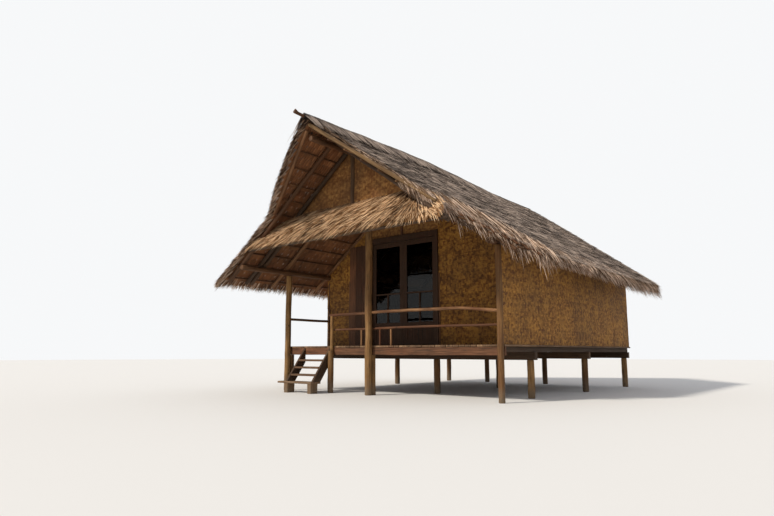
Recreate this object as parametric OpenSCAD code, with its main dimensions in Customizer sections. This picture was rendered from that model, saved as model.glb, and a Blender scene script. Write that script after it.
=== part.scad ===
// A small thatched house on stilts: one room behind an open porch, woven mat walls on round poles,
// a steep leaf roof whose front leans out over a skirt of thatch, and a short stair beside the porch rail.
// Millimetres. +Z is up, +Y runs from the porch into the house, and +X is to the right seen from the front.
// The origin is on the ground, in the middle of the roof's plan.

/* [House] */
// Distance between the centres of the two front corner posts
house_w = 4900; // [4400:50:5400]
// Depth of the porch, from the front posts to the room's front wall
porch_d = 1160; // [1060:10:1400]
// Depth of the room, from its front wall to its back wall
room_d = 4590; // [4000:10:5200]
// Height of the deck above the ground
deck_h = 880; // [760:10:1100]
// Place of the middle post, from the middle of the front
middle_post_x = -240; // [-320:10:-160]
// Place of the post at the head of the stair, from the middle of the front
rail_post_x = -1210; // [-1300:10:-1150]

/* [Poles] */
// Diameter of the middle post
middle_post_dia = 130; // [110:2:150]
// Diameter of the left corner post
left_post_dia = 118; // [100:2:130]
// Diameter of the right corner post
right_post_dia = 100; // [90:2:120]
// Inset of the wall plates from the line of the corner posts
plate_inset = 32; // [26:1:36]
// Diameter of the post at the head of the stair
stair_post_dia = 62; // [52:1:70]
// Diameter of the stump at its foot
stair_stump_dia = 105; // [90:1:120]
// Height of that stump
stair_stump_h = 790; // [600:10:840]
// Diameter of the posts inside the room's walls
room_post_dia = 90; // [70:2:110]
// Diameter of the short stilts under the floor
stilt_dia = 120; // [100:2:150]
// Diameter of the poles that carry the rafters
plate_dia = 100; // [80:2:120]
// Diameter of a tie beam between a pair of rafters
tie_dia = 80; // [65:1:88]
// Diameter of a rafter
rafter_dia = 75; // [60:1:90]
// Diameter of a batten under the thatch
batten_dia = 32; // [24:1:40]
// Diameter of the poles along the slanting front edges of the roof
rake_pole_dia = 62; // [50:1:66]
// Diameter of the ridge pole
ridge_pole_dia = 90; // [70:1:110]

/* [Floor] */
// Thickness of the floor boards
board_t = 28; // [20:1:36]
// Height of a floor joist
joist_h = 90; // [70:1:110]
// Width of a floor joist
joist_w = 50; // [40:1:60]
// Spacing of the floor joists
joist_gap = 610; // [500:10:800]
// Height of a beam on the stilts
beam_h = 130; // [110:1:150]
// Width of a beam on the stilts
beam_w = 90; // [70:1:110]
// Height of the board along the deck's front
fascia_h = 140; // [120:1:160]
// Thickness of the board along the deck's front
fascia_t = 36; // [28:1:44]
// Reach of the deck's boards past that board
deck_lip = 20; // [10:1:28]

/* [Walls] */
// Thickness of a wall of woven mats on battens
wall_t = 40; // [30:1:50]
// Step where the upper mat laps over the lower one
mat_lap = 6; // [4:1:9]
// Height of that lap above the deck
mat_seam_h = 820; // [700:10:1000]

// Left edge of the boards beside the door, from the middle of the front
side_board_x = -1780; // [-1900:10:-1720]
// Width of one of those boards
side_board_w = 172; // [140:1:180]
// Thickness of those boards
side_board_t = 20; // [14:1:24]
// Number of those boards
side_board_count = 3; // [2:1:3]
// Width of a thin batten over a mat's edge
batten_w = 34; // [24:1:44]
// Thickness of such a batten
batten_t = 10; // [6:1:14]
// Width of the stud over the door
stud_w = 50; // [40:1:70]
// Height of the stud over the door
stud_h = 215; // [150:5:280]
// Thickness of the stud over the door
stud_t = 24; // [16:1:30]

/* [Door] */
// Middle of the door, from the middle of the front
door_x = -360; // [-400:10:-320]
// Width of one door leaf
leaf_w = 800; // [740:5:840]
// Height of the door opening above the deck
door_h = 2110; // [2000:10:2140]
// Thickness of a door leaf
leaf_t = 36; // [30:1:44]
// Width of a leaf's upright side
stile_w = 85; // [70:1:100]
// Height of a leaf's top and bottom rails
leaf_rail_h = 95; // [80:1:110]
// Height of the solid panel at a leaf's foot, up to the top of its rail
foot_panel_h = 440; // [400:5:500]
// Height of the glazing bar above the deck
bar_h = 1030; // [980:5:1100]
// Width of a glazing bar
bar_w = 30; // [24:1:36]
// Thickness of the glass
glass_t = 5; // [4:0.5:6]
// Width of the door frame's posts
jamb_w = 75; // [60:1:90]
// Depth of the door frame
jamb_d = 100; // [90:1:120]
// Height of the board over the door
header_h = 110; // [90:1:130]
// Height of the sill under the door
sill_h = 20; // [14:1:24]
// Diameter of a hinge's barrel
barrel_dia = 16; // [14:1:20]
// Height of one half of a hinge
knuckle_h = 45; // [35:1:55]

/* [Porch] */
// Height of the top rail above the deck
rail_h = 595; // [540:5:640]
// Place where the top rail bends down, from the middle of the front
rail_bend_x = 1810; // [1500:10:2000]
// Fall of the top rail from that bend to the right post
rail_fall = 62; // [20:1:90]
// Diameter of the top rail
rail_dia = 52; // [44:1:60]
// Height of the middle rail above the deck
mid_rail_h = 308; // [260:2:340]
// Diameter of the middle rail
mid_rail_dia = 40; // [34:1:46]
// Diameter of the short uprights under the middle rail
upright_dia = 34; // [28:1:40]
// Height of the side rail above the deck
side_rail_h = 550; // [500:5:600]

/* [Stair] */
// Clear width between the stair's two strings
stair_w = 660; // [560:10:700]
// Place of the stair's right string, left of the stair post
stair_gap = 60; // [40:5:120]
// Number of treads, the plank at the foot among them
tread_count = 4; // [4:1:5]
// Height of the plank at the stair's foot
first_tread_h = 212; // [190:2:240]
// Height of the deck above the highest tread
last_rise = 257; // [240:1:290]
// Reach of the plank past the left string
plank_tail = 190; // [120:10:220]
// Width of a block under that plank
foot_block_w = 105; // [90:1:120]
// Depth of such a block
foot_block_d = 180; // [150:5:200]
// Distance that the stair reaches out from the deck
stair_reach = 640; // [560:10:760]
// Thickness of a string
string_t = 45; // [38:1:55]
// Depth of a string, square to its slope
string_d = 170; // [150:5:190]
// Depth of a tread
tread_d = 210; // [180:5:230]
// Thickness of a tread
tread_t = 36; // [28:1:44]

/* [Roof] */
// Height of the left wall plate's middle line above the deck
plate_h = 1496; // [1400:1:1620]
// Rise of the left slope over each metre across
left_rise = 775; // [760:5:790]
// Rise of the right slope over each metre across
right_rise = 735; // [720:5:750]
// Distance of each eave from the middle of the house
eave_x = 3180; // [3100:10:3260]
// Distance of the rafters' lower ends inside the eaves
rafter_inset = 300; // [220:10:360]
// Thickness of the thatch, square to the slope
thatch_t = 80; // [70:1:100]
// Step at the foot of each course of leaves
course_step = 22; // [14:1:30]
// Number of courses of leaves on a slope
course_count = 15; // [12:1:18]
// Reach of the ridge's thatch in front of the porch posts
ridge_reach = 1850; // [1800:10:1900]
// Place of the break in the left slope's front edge, from the middle of the house
rake_break_x = 1680; // [1640:10:1760]
// Reach of that edge there
rake_break_reach = 1240; // [1220:10:1280]
// Reach of the left eave's front corner
left_eave_reach = 1300; // [1250:10:1350]
// Distance of the right eave's front corner behind the porch posts
right_eave_inset = 350; // [250:10:450]
// Reach of the roof behind the back wall
back_reach = 340; // [280:10:400]
// Reach of the ridge pole past the thatch's front tip
ridge_tip = 180; // [120:10:240]
// Thickness of the folded leaves over the ridge, straight up
cap_t = 60; // [45:1:75]
// Width of the ridge cap on each side
cap_w = 300; // [240:5:360]
// Diameter of the pole that the ridge cap is folded over
tip_pole_dia = 60; // [50:1:66]
// Place where the right rake pole ends, and the break in that edge, from the middle of the house
rake_end_x = 2130; // [2000:10:2200]
// Reach of that edge there
rake_end_reach = 1120; // [1080:10:1160]
// Reach of the right wall plate
right_plate_reach = 200; // [140:10:400]
// Reach of the foremost pair of rafters
front_rafter_reach = 1170; // [1150:5:1185]

/* [Skirt and gable] */
// Reach of the front gable wall in front of the porch posts
gable_reach = 700; // [660:10:740]
// Depth below the ridge at which the skirt's thatch meets the gable wall
skirt_top_drop = 1150; // [1100:10:1200]
// Fall of the skirt from there to its lower edge
skirt_fall = 590; // [540:10:640]
// Depth of the tie beams below the rafters' top
tie_drop = 1160; // [1120:10:1200]
// Reach of the skirt's lower edge in front of the porch posts
skirt_reach = 1290; // [1280:5:1330]
// Thickness of the skirt's thatch
skirt_t = 80; // [70:1:90]
// Diameter of the short rafters under the skirt
stick_dia = 35; // [28:1:42]
// Spacing of those rafters
stick_gap = 400; // [320:10:480]
// Diameter of the pole that carries them
skirt_pole_dia = 45; // [38:1:52]
// Diameter of the king post on the gable
king_post_dia = 88; // [80:1:96]

/* [Hidden] */

$fn = 32;

// Gap between faces that rest on each other where one of them is round
seat = 0.3;
// Running gap round a door leaf
leaf_gap = 6;
// Depth of the groove that holds the glass
groove = 10;
// Length of a pole past what carries it
tail = 60;
rail_tail = 25;
// Reach of the floor beams past the corner posts
beam_tail = 20;
// Side of the squared stumps behind the left and middle posts
stump_w = 90;
// Gap between the stair post's stump and the board behind it
stump_gap = 5;
// Depth of the strings' upper ends below the deck
string_drop = 30;
// Reach of the treads, and of the plank at the foot, in front of the strings
nosing = 10;
plank_nose = 40;
// Gap between the ends of a tie beam and the battens over it
tie_gap = 4;
// Distance of the battens' and the rake poles' lower ends inside the thatch's front edge
batten_inset = 40;
rake_inset = 80;
// Depth of the pole in the ridge cap below the cap's crest
tip_sink = 12;
// Length of the skirt's pole past the rafters, and of its sticks past that pole
skirt_pole_tail = 40;
stick_tail = 20;
// Gap between the sticks' upper ends and the gable wall
stick_clear = 2;

// Plan. Everything is measured from the line of the porch's front posts, at front_y.
function slope(side) = (side < 0 ? left_rise : right_rise) / 1000;
function pitch(side) = atan(slope(side));
roof_front = -ridge_reach - ridge_tip;
roof_back = porch_d + room_d + back_reach;
front_y = -(roof_front + roof_back) / 2;
wall_y = front_y + porch_d;
back_y = wall_y + room_d;
roof_back_y = front_y + roof_back;
half_w = house_w / 2;

// Heights
joist_top = deck_h - board_t;
beam_top = joist_top - joist_h;
stilt_top = beam_top - beam_h;

// Drops from the roof's upper face, square to the slope, to the axis of each layer
batten_drop = thatch_t + seat + batten_dia / 2;
rafter_drop = thatch_t + batten_dia + 2 * seat + rafter_dia / 2;
plate_drop = rafter_drop + rafter_dia / 2 + seat + plate_dia / 2;
ridge_drop = rafter_drop + rafter_dia / 2 + seat + ridge_pole_dia / 2;

// The ridge's height follows from the left wall plate, the lower one under the steeper slope
plate_x = half_w - plate_inset;
ridge_h = deck_h + plate_h + slope(-1) * plate_x + plate_drop / cos(pitch(-1));

// Height of a line that lies a square drop under the roof's upper face, at a distance from the middle;
// side is -1 on the left, 1 on the right
function roof_z(x, drop, side = -1) = ridge_h - slope(side) * x - drop / cos(pitch(side));
function plate_z(side) = roof_z(plate_x, plate_drop, side);
function plate_low(side) = plate_z(side) - plate_dia / 2 - seat;

// Front edge of the roof in plan, at a distance from the middle. The left one bulges forward to its break
// and curves from there to the eave, and the right one runs straight to its break and straight to the eave.
right_rake_lean = (ridge_reach - rake_end_reach) / rake_end_x;
right_eave_lean = (rake_end_reach + right_eave_inset) / (eave_x - rake_end_x);
function left_reach(x) = x < rake_break_x
    ? ridge_reach + (rake_break_reach - ridge_reach) * pow(x / rake_break_x, 1.6)
    : rake_break_reach + (left_eave_reach - rake_break_reach)
        * pow((x - rake_break_x) / (eave_x - rake_break_x), 2);
function right_reach(x) = x < rake_end_x ? ridge_reach - right_rake_lean * x
    : rake_end_reach - right_eave_lean * (x - rake_end_x);
function rake_y(x, side) = front_y - (side < 0 ? left_reach(x) : right_reach(x));

ridge_pole_z = roof_z(0, ridge_drop);
tie_z = roof_z(0, rafter_drop) - tie_drop;
skirt_top_h = ridge_h - skirt_top_drop;
skirt_foot_h = skirt_top_h - skirt_fall;
gable_y = front_y - gable_reach;

// Places along the house of the rafter pairs: the front one, one on each side of the gable wall, one beside
// the porch's tie beam, and then at even steps over the room and one past its back wall
tie_step = (rafter_dia + tie_dia) / 2 + seat;
gable_step = (wall_t + rafter_dia) / 2 + seat;
gable_row = -gable_reach + gable_step;
rafter_rows = concat([-front_rafter_reach, -gable_reach - gable_step, gable_row, -tie_step],
                     [for (i = [0 : 4]) porch_d + i * room_d / 4],
                     [porch_d + room_d + back_reach - 2 * tail]);
tie_rows = [gable_row + tie_step, 0, porch_d + room_d / 2 + tie_step];

// Stilt rows: the porch row is made by the posts, and the others stand under the floor beams
stilt_rows = [porch_d, porch_d + room_d / 2, porch_d + room_d - stilt_dia / 2];
side_stilt_x = half_w - beam_w;
frame_half = leaf_w + leaf_gap * 1.5;

// The porch posts all stand against the front of the deck's edge board
fascia_y = front_y + middle_post_dia / 2 + seat;
function post_y(dia) = fascia_y - seat - dia / 2;

// A straight round pole from one point to another
module pole(a, b, dia) {
    v = b - a;
    len = norm(v);
    translate(a)
        rotate([0, acos(v[2] / len), atan2(v[1], v[0])])
            cylinder(h = len, d = dia);
}

// A box from its low corner to its high corner
module block(low, high) {
    translate(low)
        cube(high - low);
}

// Wood and leaf colours
module post_wood() { color([0.55, 0.42, 0.27]) children(); }
module dark_wood() { color([0.36, 0.24, 0.15]) children(); }
module red_wood() { color([0.42, 0.21, 0.12]) children(); }
module woven_mat() { color([0.66, 0.46, 0.20]) children(); }
module leaf_thatch() { color([0.50, 0.42, 0.31]) children(); }

// The solid under the roof's upper face, less a square drop, used to trim walls and the skirt
module under_roof(drop, from_y, to_y) {
    low = -ridge_h;
    translate([0, to_y, 0])
        rotate([90, 0, 0])
            linear_extrude(to_y - from_y)
                polygon([[-2 * eave_x, low], [2 * eave_x, low], [2 * eave_x, roof_z(2 * eave_x, drop, 1)],
                         [0, roof_z(0, drop, 1)], [0, roof_z(0, drop)],
                         [-2 * eave_x, roof_z(2 * eave_x, drop)]]);
}

// Posts and stilts

module stilts() {
    dark_wood() {
        for (row = stilt_rows)
            for (x = [-side_stilt_x, -frame_half + door_x, frame_half + door_x, side_stilt_x])
                translate([x, front_y + row, 0])
                    cylinder(h = stilt_top, d = stilt_dia);
        for (x = [-half_w, middle_post_x])
            translate([x - stump_w / 2, fascia_y + seat, 0])
                cube([stump_w, stump_w, joist_top - fascia_h]);
        for (x = [stair_left_x, stair_right_x - foot_block_w])
            translate([x, string_y(first_tread_h) - plank_nose, 0])
                cube([foot_block_w, foot_block_d, first_tread_h - tread_t]);
    }
}

module left_post() {
    post_wood()
        translate([-half_w, post_y(left_post_dia), 0])
            cylinder(h = plate_low(-1), d = left_post_dia);
}

module middle_post() {
    post_wood()
        translate([middle_post_x, front_y, 0])
            cylinder(h = tie_z - tie_dia / 2 - seat, d = middle_post_dia);
}

module right_post() {
    post_wood()
        translate([half_w, post_y(right_post_dia), 0])
            cylinder(h = plate_low(1), d = right_post_dia);
}

// Posts on the floor inside the room's walls; the two at the back stand in the corners
room_post_rows = [porch_d + wall_t / 2 + room_post_dia / 2 + seat, porch_d + room_d / 2,
                  porch_d + room_d - wall_t / 2 - room_post_dia / 2 - seat];
room_post_x = half_w - wall_t / 2 - room_post_dia / 2 - seat;

module room_posts() {
    post_wood()
        for (row = room_post_rows)
            for (side = [-1, 1])
                translate([side * room_post_x, front_y + row, deck_h])
                    cylinder(h = plate_low(side) - deck_h, d = room_post_dia);
}

module stair_post() {
    post_wood()
        translate([rail_post_x, 0, 0]) {
            translate([0, post_y(stair_stump_dia) - stump_gap, 0])
                cylinder(h = stair_stump_h, d = stair_stump_dia);
            translate([0, post_y(stair_post_dia), stair_stump_h])
                cylinder(h = deck_h + rail_h - rail_dia / 2 - seat - stair_stump_h, d = stair_post_dia);
        }
}

// Floor

floor_half = half_w + right_post_dia / 2;
deck_edge_y = fascia_y - deck_lip;

module floor_beams() {
    dark_wood()
        for (row = stilt_rows)
            block([-half_w - beam_tail, front_y + row - beam_w / 2, stilt_top],
                  [half_w + beam_tail, front_y + row + beam_w / 2, beam_top]);
}

module floor_joists() {
    count = floor((2 * half_w - joist_w) / joist_gap);
    step = (2 * (half_w - beam_tail) - joist_w) / count;
    dark_wood()
        for (i = [0 : count])
            translate([-half_w + beam_tail + i * step, fascia_y + fascia_t, beam_top])
                cube([joist_w, back_y - fascia_y - fascia_t, joist_h]);
}

module deck_fascia() {
    red_wood()
        block([-floor_half, fascia_y, joist_top - fascia_h],
              [floor_half, fascia_y + fascia_t, joist_top]);
}

module porch_deck() {
    dark_wood()
        difference() {
            block([-floor_half, deck_edge_y, joist_top], [floor_half, wall_y - wall_t / 2, deck_h]);
            for (p = [[-half_w, left_post_dia], [middle_post_x, middle_post_dia], [half_w, right_post_dia],
                      [rail_post_x, stair_post_dia]])
                translate([p[0], post_y(p[1]), 0])
                    cylinder(h = 2 * deck_h, d = p[1] + 2 * seat);
        }
}

module room_floor() {
    dark_wood()
        block([-floor_half, wall_y - wall_t / 2, joist_top], [floor_half, back_y + wall_t / 2, deck_h]);
}

// Stair

// Two strings stand on a plank that lies on two blocks. They lean against the deck's edge board, and the
// other treads stand between them.
stair_right_x = rail_post_x - stair_gap;
stair_left_x = stair_right_x - stair_w - 2 * string_t;
stair_angle = atan(deck_h / stair_reach);
tread_rise = (deck_h - last_rise - first_tread_h) / (tread_count - 1);

// Place along the house of the strings' front edge, at a height
function string_y(z) = fascia_y - (deck_h - string_drop - z) / tan(stair_angle);

module stair_string(x) {
    rise = deck_h - string_drop;
    plumb = string_d / cos(stair_angle);
    translate([x, 0, 0])
        rotate([90, 0, 90])
            linear_extrude(string_t)
                intersection() {
                    polygon([[string_y(0), 0], [fascia_y, rise], [fascia_y, rise - plumb],
                             [string_y(0), -plumb]]);
                    translate([string_y(0), first_tread_h])
                        square([fascia_y - string_y(0), rise]);
                }
}

module stair_strings() {
    dark_wood() {
        stair_string(stair_right_x - string_t);
        stair_string(stair_left_x);
    }
}

module stair_treads() {
    plank_d = plank_nose + string_d / sin(stair_angle);
    dark_wood() {
        translate([stair_left_x - plank_tail, string_y(first_tread_h) - plank_nose, first_tread_h - tread_t])
            cube([stair_right_x - stair_left_x + plank_tail, plank_d, tread_t]);
        for (i = [1 : tread_count - 1]) {
            z = first_tread_h + i * tread_rise;
            translate([stair_left_x + string_t, string_y(z) - nosing, z - tread_t])
                cube([stair_w, tread_d, tread_t]);
        }
    }
}

// Walls

// A wall of two lapped mats: the upper one stands a step proud of the lower one on its outer face.
// It runs along X from x0 to x1 and its outer face looks towards -Y.
module mat_wall(x0, x1, top_z) {
    seam = deck_h + mat_seam_h;
    block([x0, -wall_t / 2 + mat_lap, deck_h], [x1, wall_t / 2, seam]);
    block([x0, -wall_t / 2, seam], [x1, wall_t / 2, top_z]);
}

module front_wall(x0, x1) {
    woven_mat()
        intersection() {
            difference() {
                translate([0, wall_y, 0])
                    mat_wall(x0, x1, ridge_h);
                for (side = [-1, 1])
                    pole([side * plate_x, wall_y - wall_t, plate_z(side)],
                         [side * plate_x, wall_y + wall_t, plate_z(side)], plate_dia + 2 * seat);
            }
            under_roof(rafter_drop + rafter_dia / 2 + seat, wall_y - wall_t, wall_y + wall_t);
        }
}

// The top of a wall that the ridge pole passes through stops at the pole's middle
module ridge_notch(y) {
    pole([0, y - wall_t, ridge_pole_z], [0, y + wall_t, ridge_pole_z], ridge_pole_dia + 2 * seat);
    block([-ridge_pole_dia, y - wall_t, ridge_pole_z], [ridge_pole_dia, y + wall_t, ridge_h]);
}

module front_wall_left() { front_wall(-half_w + wall_t / 2, door_x - frame_half - jamb_w); }
module front_wall_right() { front_wall(door_x + frame_half + jamb_w, half_w - wall_t / 2); }

module over_door_wall() {
    woven_mat()
        intersection() {
            difference() {
                block([door_x - frame_half - jamb_w, wall_y - wall_t / 2, deck_h + door_h + header_h],
                      [door_x + frame_half + jamb_w, wall_y + wall_t / 2, ridge_h]);
                ridge_notch(wall_y);
            }
            under_roof(rafter_drop + rafter_dia / 2 + seat, wall_y - wall_t, wall_y + wall_t);
        }
}

// A side wall; the mats' outer face looks away from the house, and the front posts pass through it
module side_wall(side, y0, y1) {
    top_z = roof_z(half_w + wall_t / 2, rafter_drop + rafter_dia / 2, side) - seat;
    seam = deck_h + mat_seam_h;
    intersection() {
        union() {
            block([half_w - wall_t / 2, y0, deck_h], [half_w + wall_t / 2 - mat_lap, y1, seam]);
            block([half_w - wall_t / 2, y0, seam], [half_w + wall_t / 2, y1, plate_low(side)]);
        }
        block([0, y0, 0], [2 * half_w, y1, top_z]);
    }
}

module left_wall() {
    woven_mat()
        mirror([1, 0, 0])
            side_wall(-1, wall_y - wall_t / 2, back_y - wall_t / 2);
}

module right_wall() {
    woven_mat()
        difference() {
            side_wall(1, post_y(right_post_dia), back_y - wall_t / 2);
            translate([half_w, post_y(right_post_dia), 0])
                cylinder(h = ridge_h, d = right_post_dia + 2 * seat);
        }
}

module back_wall() {
    woven_mat()
        intersection() {
            difference() {
                translate([0, back_y, 0])
                    mirror([0, 1, 0])
                        mat_wall(-half_w - wall_t / 2, half_w + wall_t / 2, ridge_h);
                ridge_notch(back_y);
                for (side = [-1, 1])
                    pole([side * plate_x, back_y - wall_t, plate_z(side)],
                         [side * plate_x, back_y + wall_t, plate_z(side)], plate_dia + 2 * seat);
            }
            under_roof(rafter_drop + rafter_dia / 2 + seat, back_y - wall_t, back_y + wall_t);
        }
}

// Boards beside the door, a stud over it and thin battens over the mats' upright edges, all on the
// front wall's outer face
module wall_trim() {
    face_y = wall_y - wall_t / 2;
    jamb_left_x = door_x - frame_half - jamb_w;
    jamb_right_x = door_x + frame_half + jamb_w;
    head_z = deck_h + door_h + header_h;
    batten_top = plate_low(-1) - 2 * batten_w;
    red_wood() {
        intersection() {
            for (i = [0 : side_board_count - 1])
                block([side_board_x + i * (side_board_w + seat), face_y - side_board_t, deck_h],
                      [side_board_x + side_board_w + i * (side_board_w + seat), face_y, head_z - header_h]);
            under_roof(rafter_drop + rafter_dia / 2 + seat, face_y - 2 * side_board_t, wall_y);
        }
        block([(jamb_left_x + jamb_right_x - stud_w) / 2, face_y - stud_t, head_z],
              [(jamb_left_x + jamb_right_x + stud_w) / 2, face_y, head_z + stud_h]);
    }
    woven_mat()
        for (x = [-half_w + wall_t / 2, side_board_x - batten_w - seat, jamb_right_x + seat,
                  half_w - wall_t / 2 - batten_w - seat])
            block([x, face_y - batten_t, deck_h], [x + batten_w, face_y, batten_top]);
}

// Door

leaf_low = deck_h + sill_h + leaf_gap;
leaf_high = deck_h + door_h - leaf_gap;
leaf_back_y = wall_y + jamb_d / 2;

// Hinges: a barrel stands over the gap beside the leaf, against its room face. The lower half and the pin
// belong to the frame, the upper half turns with the leaf. Drawn from the leaf's hinge edge.
hinge_x = -leaf_gap / 2;
hinge_y = barrel_dia / 2;
pin_dia = barrel_dia / 2;
plate_w = 32;
plate_t = 3;
low_hinge_h = 180;
high_hinge_h = 260;
hinge_rows = [leaf_low + low_hinge_h, (leaf_low + leaf_high) / 2, leaf_high - high_hinge_h];

module hinge_on_frame() {
    for (z = hinge_rows)
        translate([hinge_x, hinge_y, z]) {
            cylinder(h = knuckle_h, d = barrel_dia);
            cylinder(h = 2 * knuckle_h, d = pin_dia);
            translate([-plate_w, -hinge_y, 0])
                cube([plate_w, plate_t, knuckle_h]);
        }
}

module hinge_on_leaf() {
    for (z = hinge_rows)
        translate([hinge_x, hinge_y, z + knuckle_h + seat])
            difference() {
                union() {
                    cylinder(h = knuckle_h, d = barrel_dia);
                    translate([0, -hinge_y, 0])
                        cube([plate_w, plate_t, knuckle_h]);
                }
                translate([0, 0, -1])
                    cylinder(h = knuckle_h + 2, d = pin_dia + 2 * seat);
            }
}

module door_frame() {
    color([0.35, 0.33, 0.30]) {
        at_left_hinge() hinge_on_frame();
        at_right_hinge() hinge_on_frame();
    }
    red_wood() {
        for (side = [-1, 1])
            translate([door_x + side * (frame_half + jamb_w / 2), wall_y, deck_h])
                translate([-jamb_w / 2, -jamb_d / 2, 0])
                    cube([jamb_w, jamb_d, door_h]);
        block([door_x - frame_half - jamb_w, wall_y - jamb_d / 2, deck_h + door_h],
              [door_x + frame_half + jamb_w, wall_y + jamb_d / 2, deck_h + door_h + header_h]);
        block([door_x - frame_half, wall_y - jamb_d / 2, deck_h],
              [door_x + frame_half, wall_y + jamb_d / 2, deck_h + sill_h]);
    }
}

// Depth of the foot panel below the leaf's faces
panel_sink = 9;

// Openings of a leaf, as [left, low, right, high] from its own hinge edge and the deck
pane_low = sill_h + leaf_gap + foot_panel_h;
pane_mid = leaf_w / 2;
panes = [[stile_w, bar_h + bar_w, leaf_w - stile_w, door_h - leaf_gap - leaf_rail_h],
         [stile_w, pane_low, pane_mid - bar_w / 2, bar_h],
         [pane_mid + bar_w / 2, pane_low, leaf_w - stile_w, bar_h]];

// A leaf from its hinge edge at x = 0 towards +X, its room face at y = 0
module door_leaf() {
    red_wood()
        difference() {
            block([0, -leaf_t, leaf_low], [leaf_w, 0, leaf_high]);
            for (p = panes) {
                block([p[0], -2 * leaf_t, deck_h + p[1]], [p[2], leaf_t, deck_h + p[3]]);
                block([p[0] - groove, -(leaf_t + glass_t) / 2 - seat, deck_h + p[1] - groove],
                      [p[2] + groove, -(leaf_t - glass_t) / 2 + seat, deck_h + p[3] + groove]);
            }
            for (face = [-leaf_t - 1, -panel_sink])
                block([stile_w, face, leaf_low + leaf_rail_h],
                      [leaf_w - stile_w, face + panel_sink + 1, deck_h + pane_low - leaf_rail_h]);
        }
}

module leaf_glass() {
    color([0.25, 0.30, 0.30, 0.5])
        for (p = panes)
            block([p[0] - groove + seat, -(leaf_t + glass_t) / 2, deck_h + p[1] - groove + seat],
                  [p[2] + groove - seat, -(leaf_t - glass_t) / 2, deck_h + p[3] + groove - seat]);
}

module at_left_hinge() {
    translate([door_x - frame_half + leaf_gap, leaf_back_y, 0])
        children();
}

module at_right_hinge() {
    translate([door_x + frame_half - leaf_gap, leaf_back_y, 0])
        mirror([1, 0, 0])
            children();
}

module hung_leaf() {
    door_leaf();
    color([0.35, 0.33, 0.30])
        hinge_on_leaf();
}

module left_door_leaf() { at_left_hinge() hung_leaf(); }
module right_door_leaf() { at_right_hinge() hung_leaf(); }
module left_door_glass() { at_left_hinge() leaf_glass(); }
module right_door_glass() { at_right_hinge() leaf_glass(); }

// Porch rails

// The top rail is coped to the middle and right posts. Its right part bends down at a mitre.
rail_z = deck_h + rail_h;
rail_y = post_y(stair_post_dia);

module mitred_part(a, b, bend, side) {
    lap = 2 * rail_dia;
    along = (b - a) / norm(b - a);
    difference() {
        pole(side < 0 ? a : a - lap * along, side < 0 ? b + lap * along : b, rail_dia);
        translate(side < 0 ? b : a)
            rotate([0, bend / 2, 0])
                translate([-2 * lap * (side + 1) / 2, -lap, -lap])
                    cube(2 * lap);
    }
}

module top_rail() {
    bend = atan(rail_fall / (half_w - rail_bend_x));
    bend_at = [rail_bend_x, rail_y, rail_z];
    post_wood()
        difference() {
            union() {
                pole([rail_post_x - stair_post_dia / 2 - rail_tail, rail_y, rail_z],
                     [middle_post_x, rail_y, rail_z], rail_dia);
                mitred_part([middle_post_x, rail_y, rail_z], bend_at, bend, -1);
                mitred_part(bend_at, [half_w, rail_y, rail_z - rail_fall], bend, 1);
            }
            for (p = [[middle_post_x, middle_post_dia], [half_w, right_post_dia]])
                translate([p[0], post_y(p[1]), 0])
                    cylinder(h = 2 * rail_z, d = p[1] + 2 * seat);
        }
}

// The middle rail lies along the back of the posts and the uprights stand under it on the deck
mid_rail_y = fascia_y + mid_rail_dia / 2;
upright_places = [-490, -40, 220];

module middle_rail() {
    z = deck_h + mid_rail_h;
    post_wood()
        pole([rail_post_x - stair_post_dia / 2 - rail_tail, mid_rail_y, z],
             [half_w - wall_t / 2 - seat, mid_rail_y, z], mid_rail_dia);
}

module rail_uprights() {
    post_wood()
        for (x = upright_places)
            translate([x, mid_rail_y, deck_h])
                cylinder(h = mid_rail_h - mid_rail_dia / 2 - seat, d = upright_dia);
}

module side_rail() {
    z = deck_h + side_rail_h;
    post_wood()
        pole([-half_w, fascia_y, z], [-half_w, wall_y - wall_t / 2 - batten_t - seat, z], rail_dia);
}

// Roof frame

// The right plate ends short of the slanting edge over it
function plate_reach(side) = side < 0 ? front_rafter_reach + tail : right_plate_reach;

module wall_plates() {
    post_wood()
        for (side = [-1, 1])
            pole([side * plate_x, front_y - plate_reach(side), plate_z(side)],
                 [side * plate_x, roof_back_y - tail, plate_z(side)], plate_dia);
}

// Distance from the middle at which a pole's top, at a height, meets a slope's battens
function tie_reach(side) =
    (roof_z(0, batten_drop + batten_dia / 2, side) - tie_z - tie_dia / 2) / slope(side) - tie_gap;

module tie_beams() {
    dark_wood()
        for (row = tie_rows)
            pole([-tie_reach(-1), front_y + row, tie_z], [tie_reach(1), front_y + row, tie_z], tie_dia);
}

module ridge_pole() {
    dark_wood()
        pole([0, front_y - ridge_reach + 2 * tail, ridge_pole_z], [0, roof_back_y - tail, ridge_pole_z],
             ridge_pole_dia);
}

// The right rafters over the porch end inside the thatch's edge, but not before the skirt's pole
function rafter_foot(row, side) = side < 0 || row > 0 ? eave_x - rafter_inset
    : max(skirt_pole_reach(1), rake_end_x + (rake_end_reach + row) / right_eave_lean - tail);

// A pair of rafters is cut plumb where the two meet over the ridge pole
module rafters(side) {
    dark_wood()
        intersection() {
            for (row = rafter_rows) {
                foot = rafter_foot(row, side);
                pole([-rafter_dia, front_y + row, roof_z(-rafter_dia, rafter_drop, side)],
                     [foot, front_y + row, roof_z(foot, rafter_drop, side)], rafter_dia);
            }
            block([seat / 2, front_y - 2 * front_rafter_reach, 0], [eave_x, roof_back_y, ridge_h]);
        }
}

module left_rafters() { mirror([1, 0, 0]) rafters(-1); }
module right_rafters() { rafters(1); }

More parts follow.
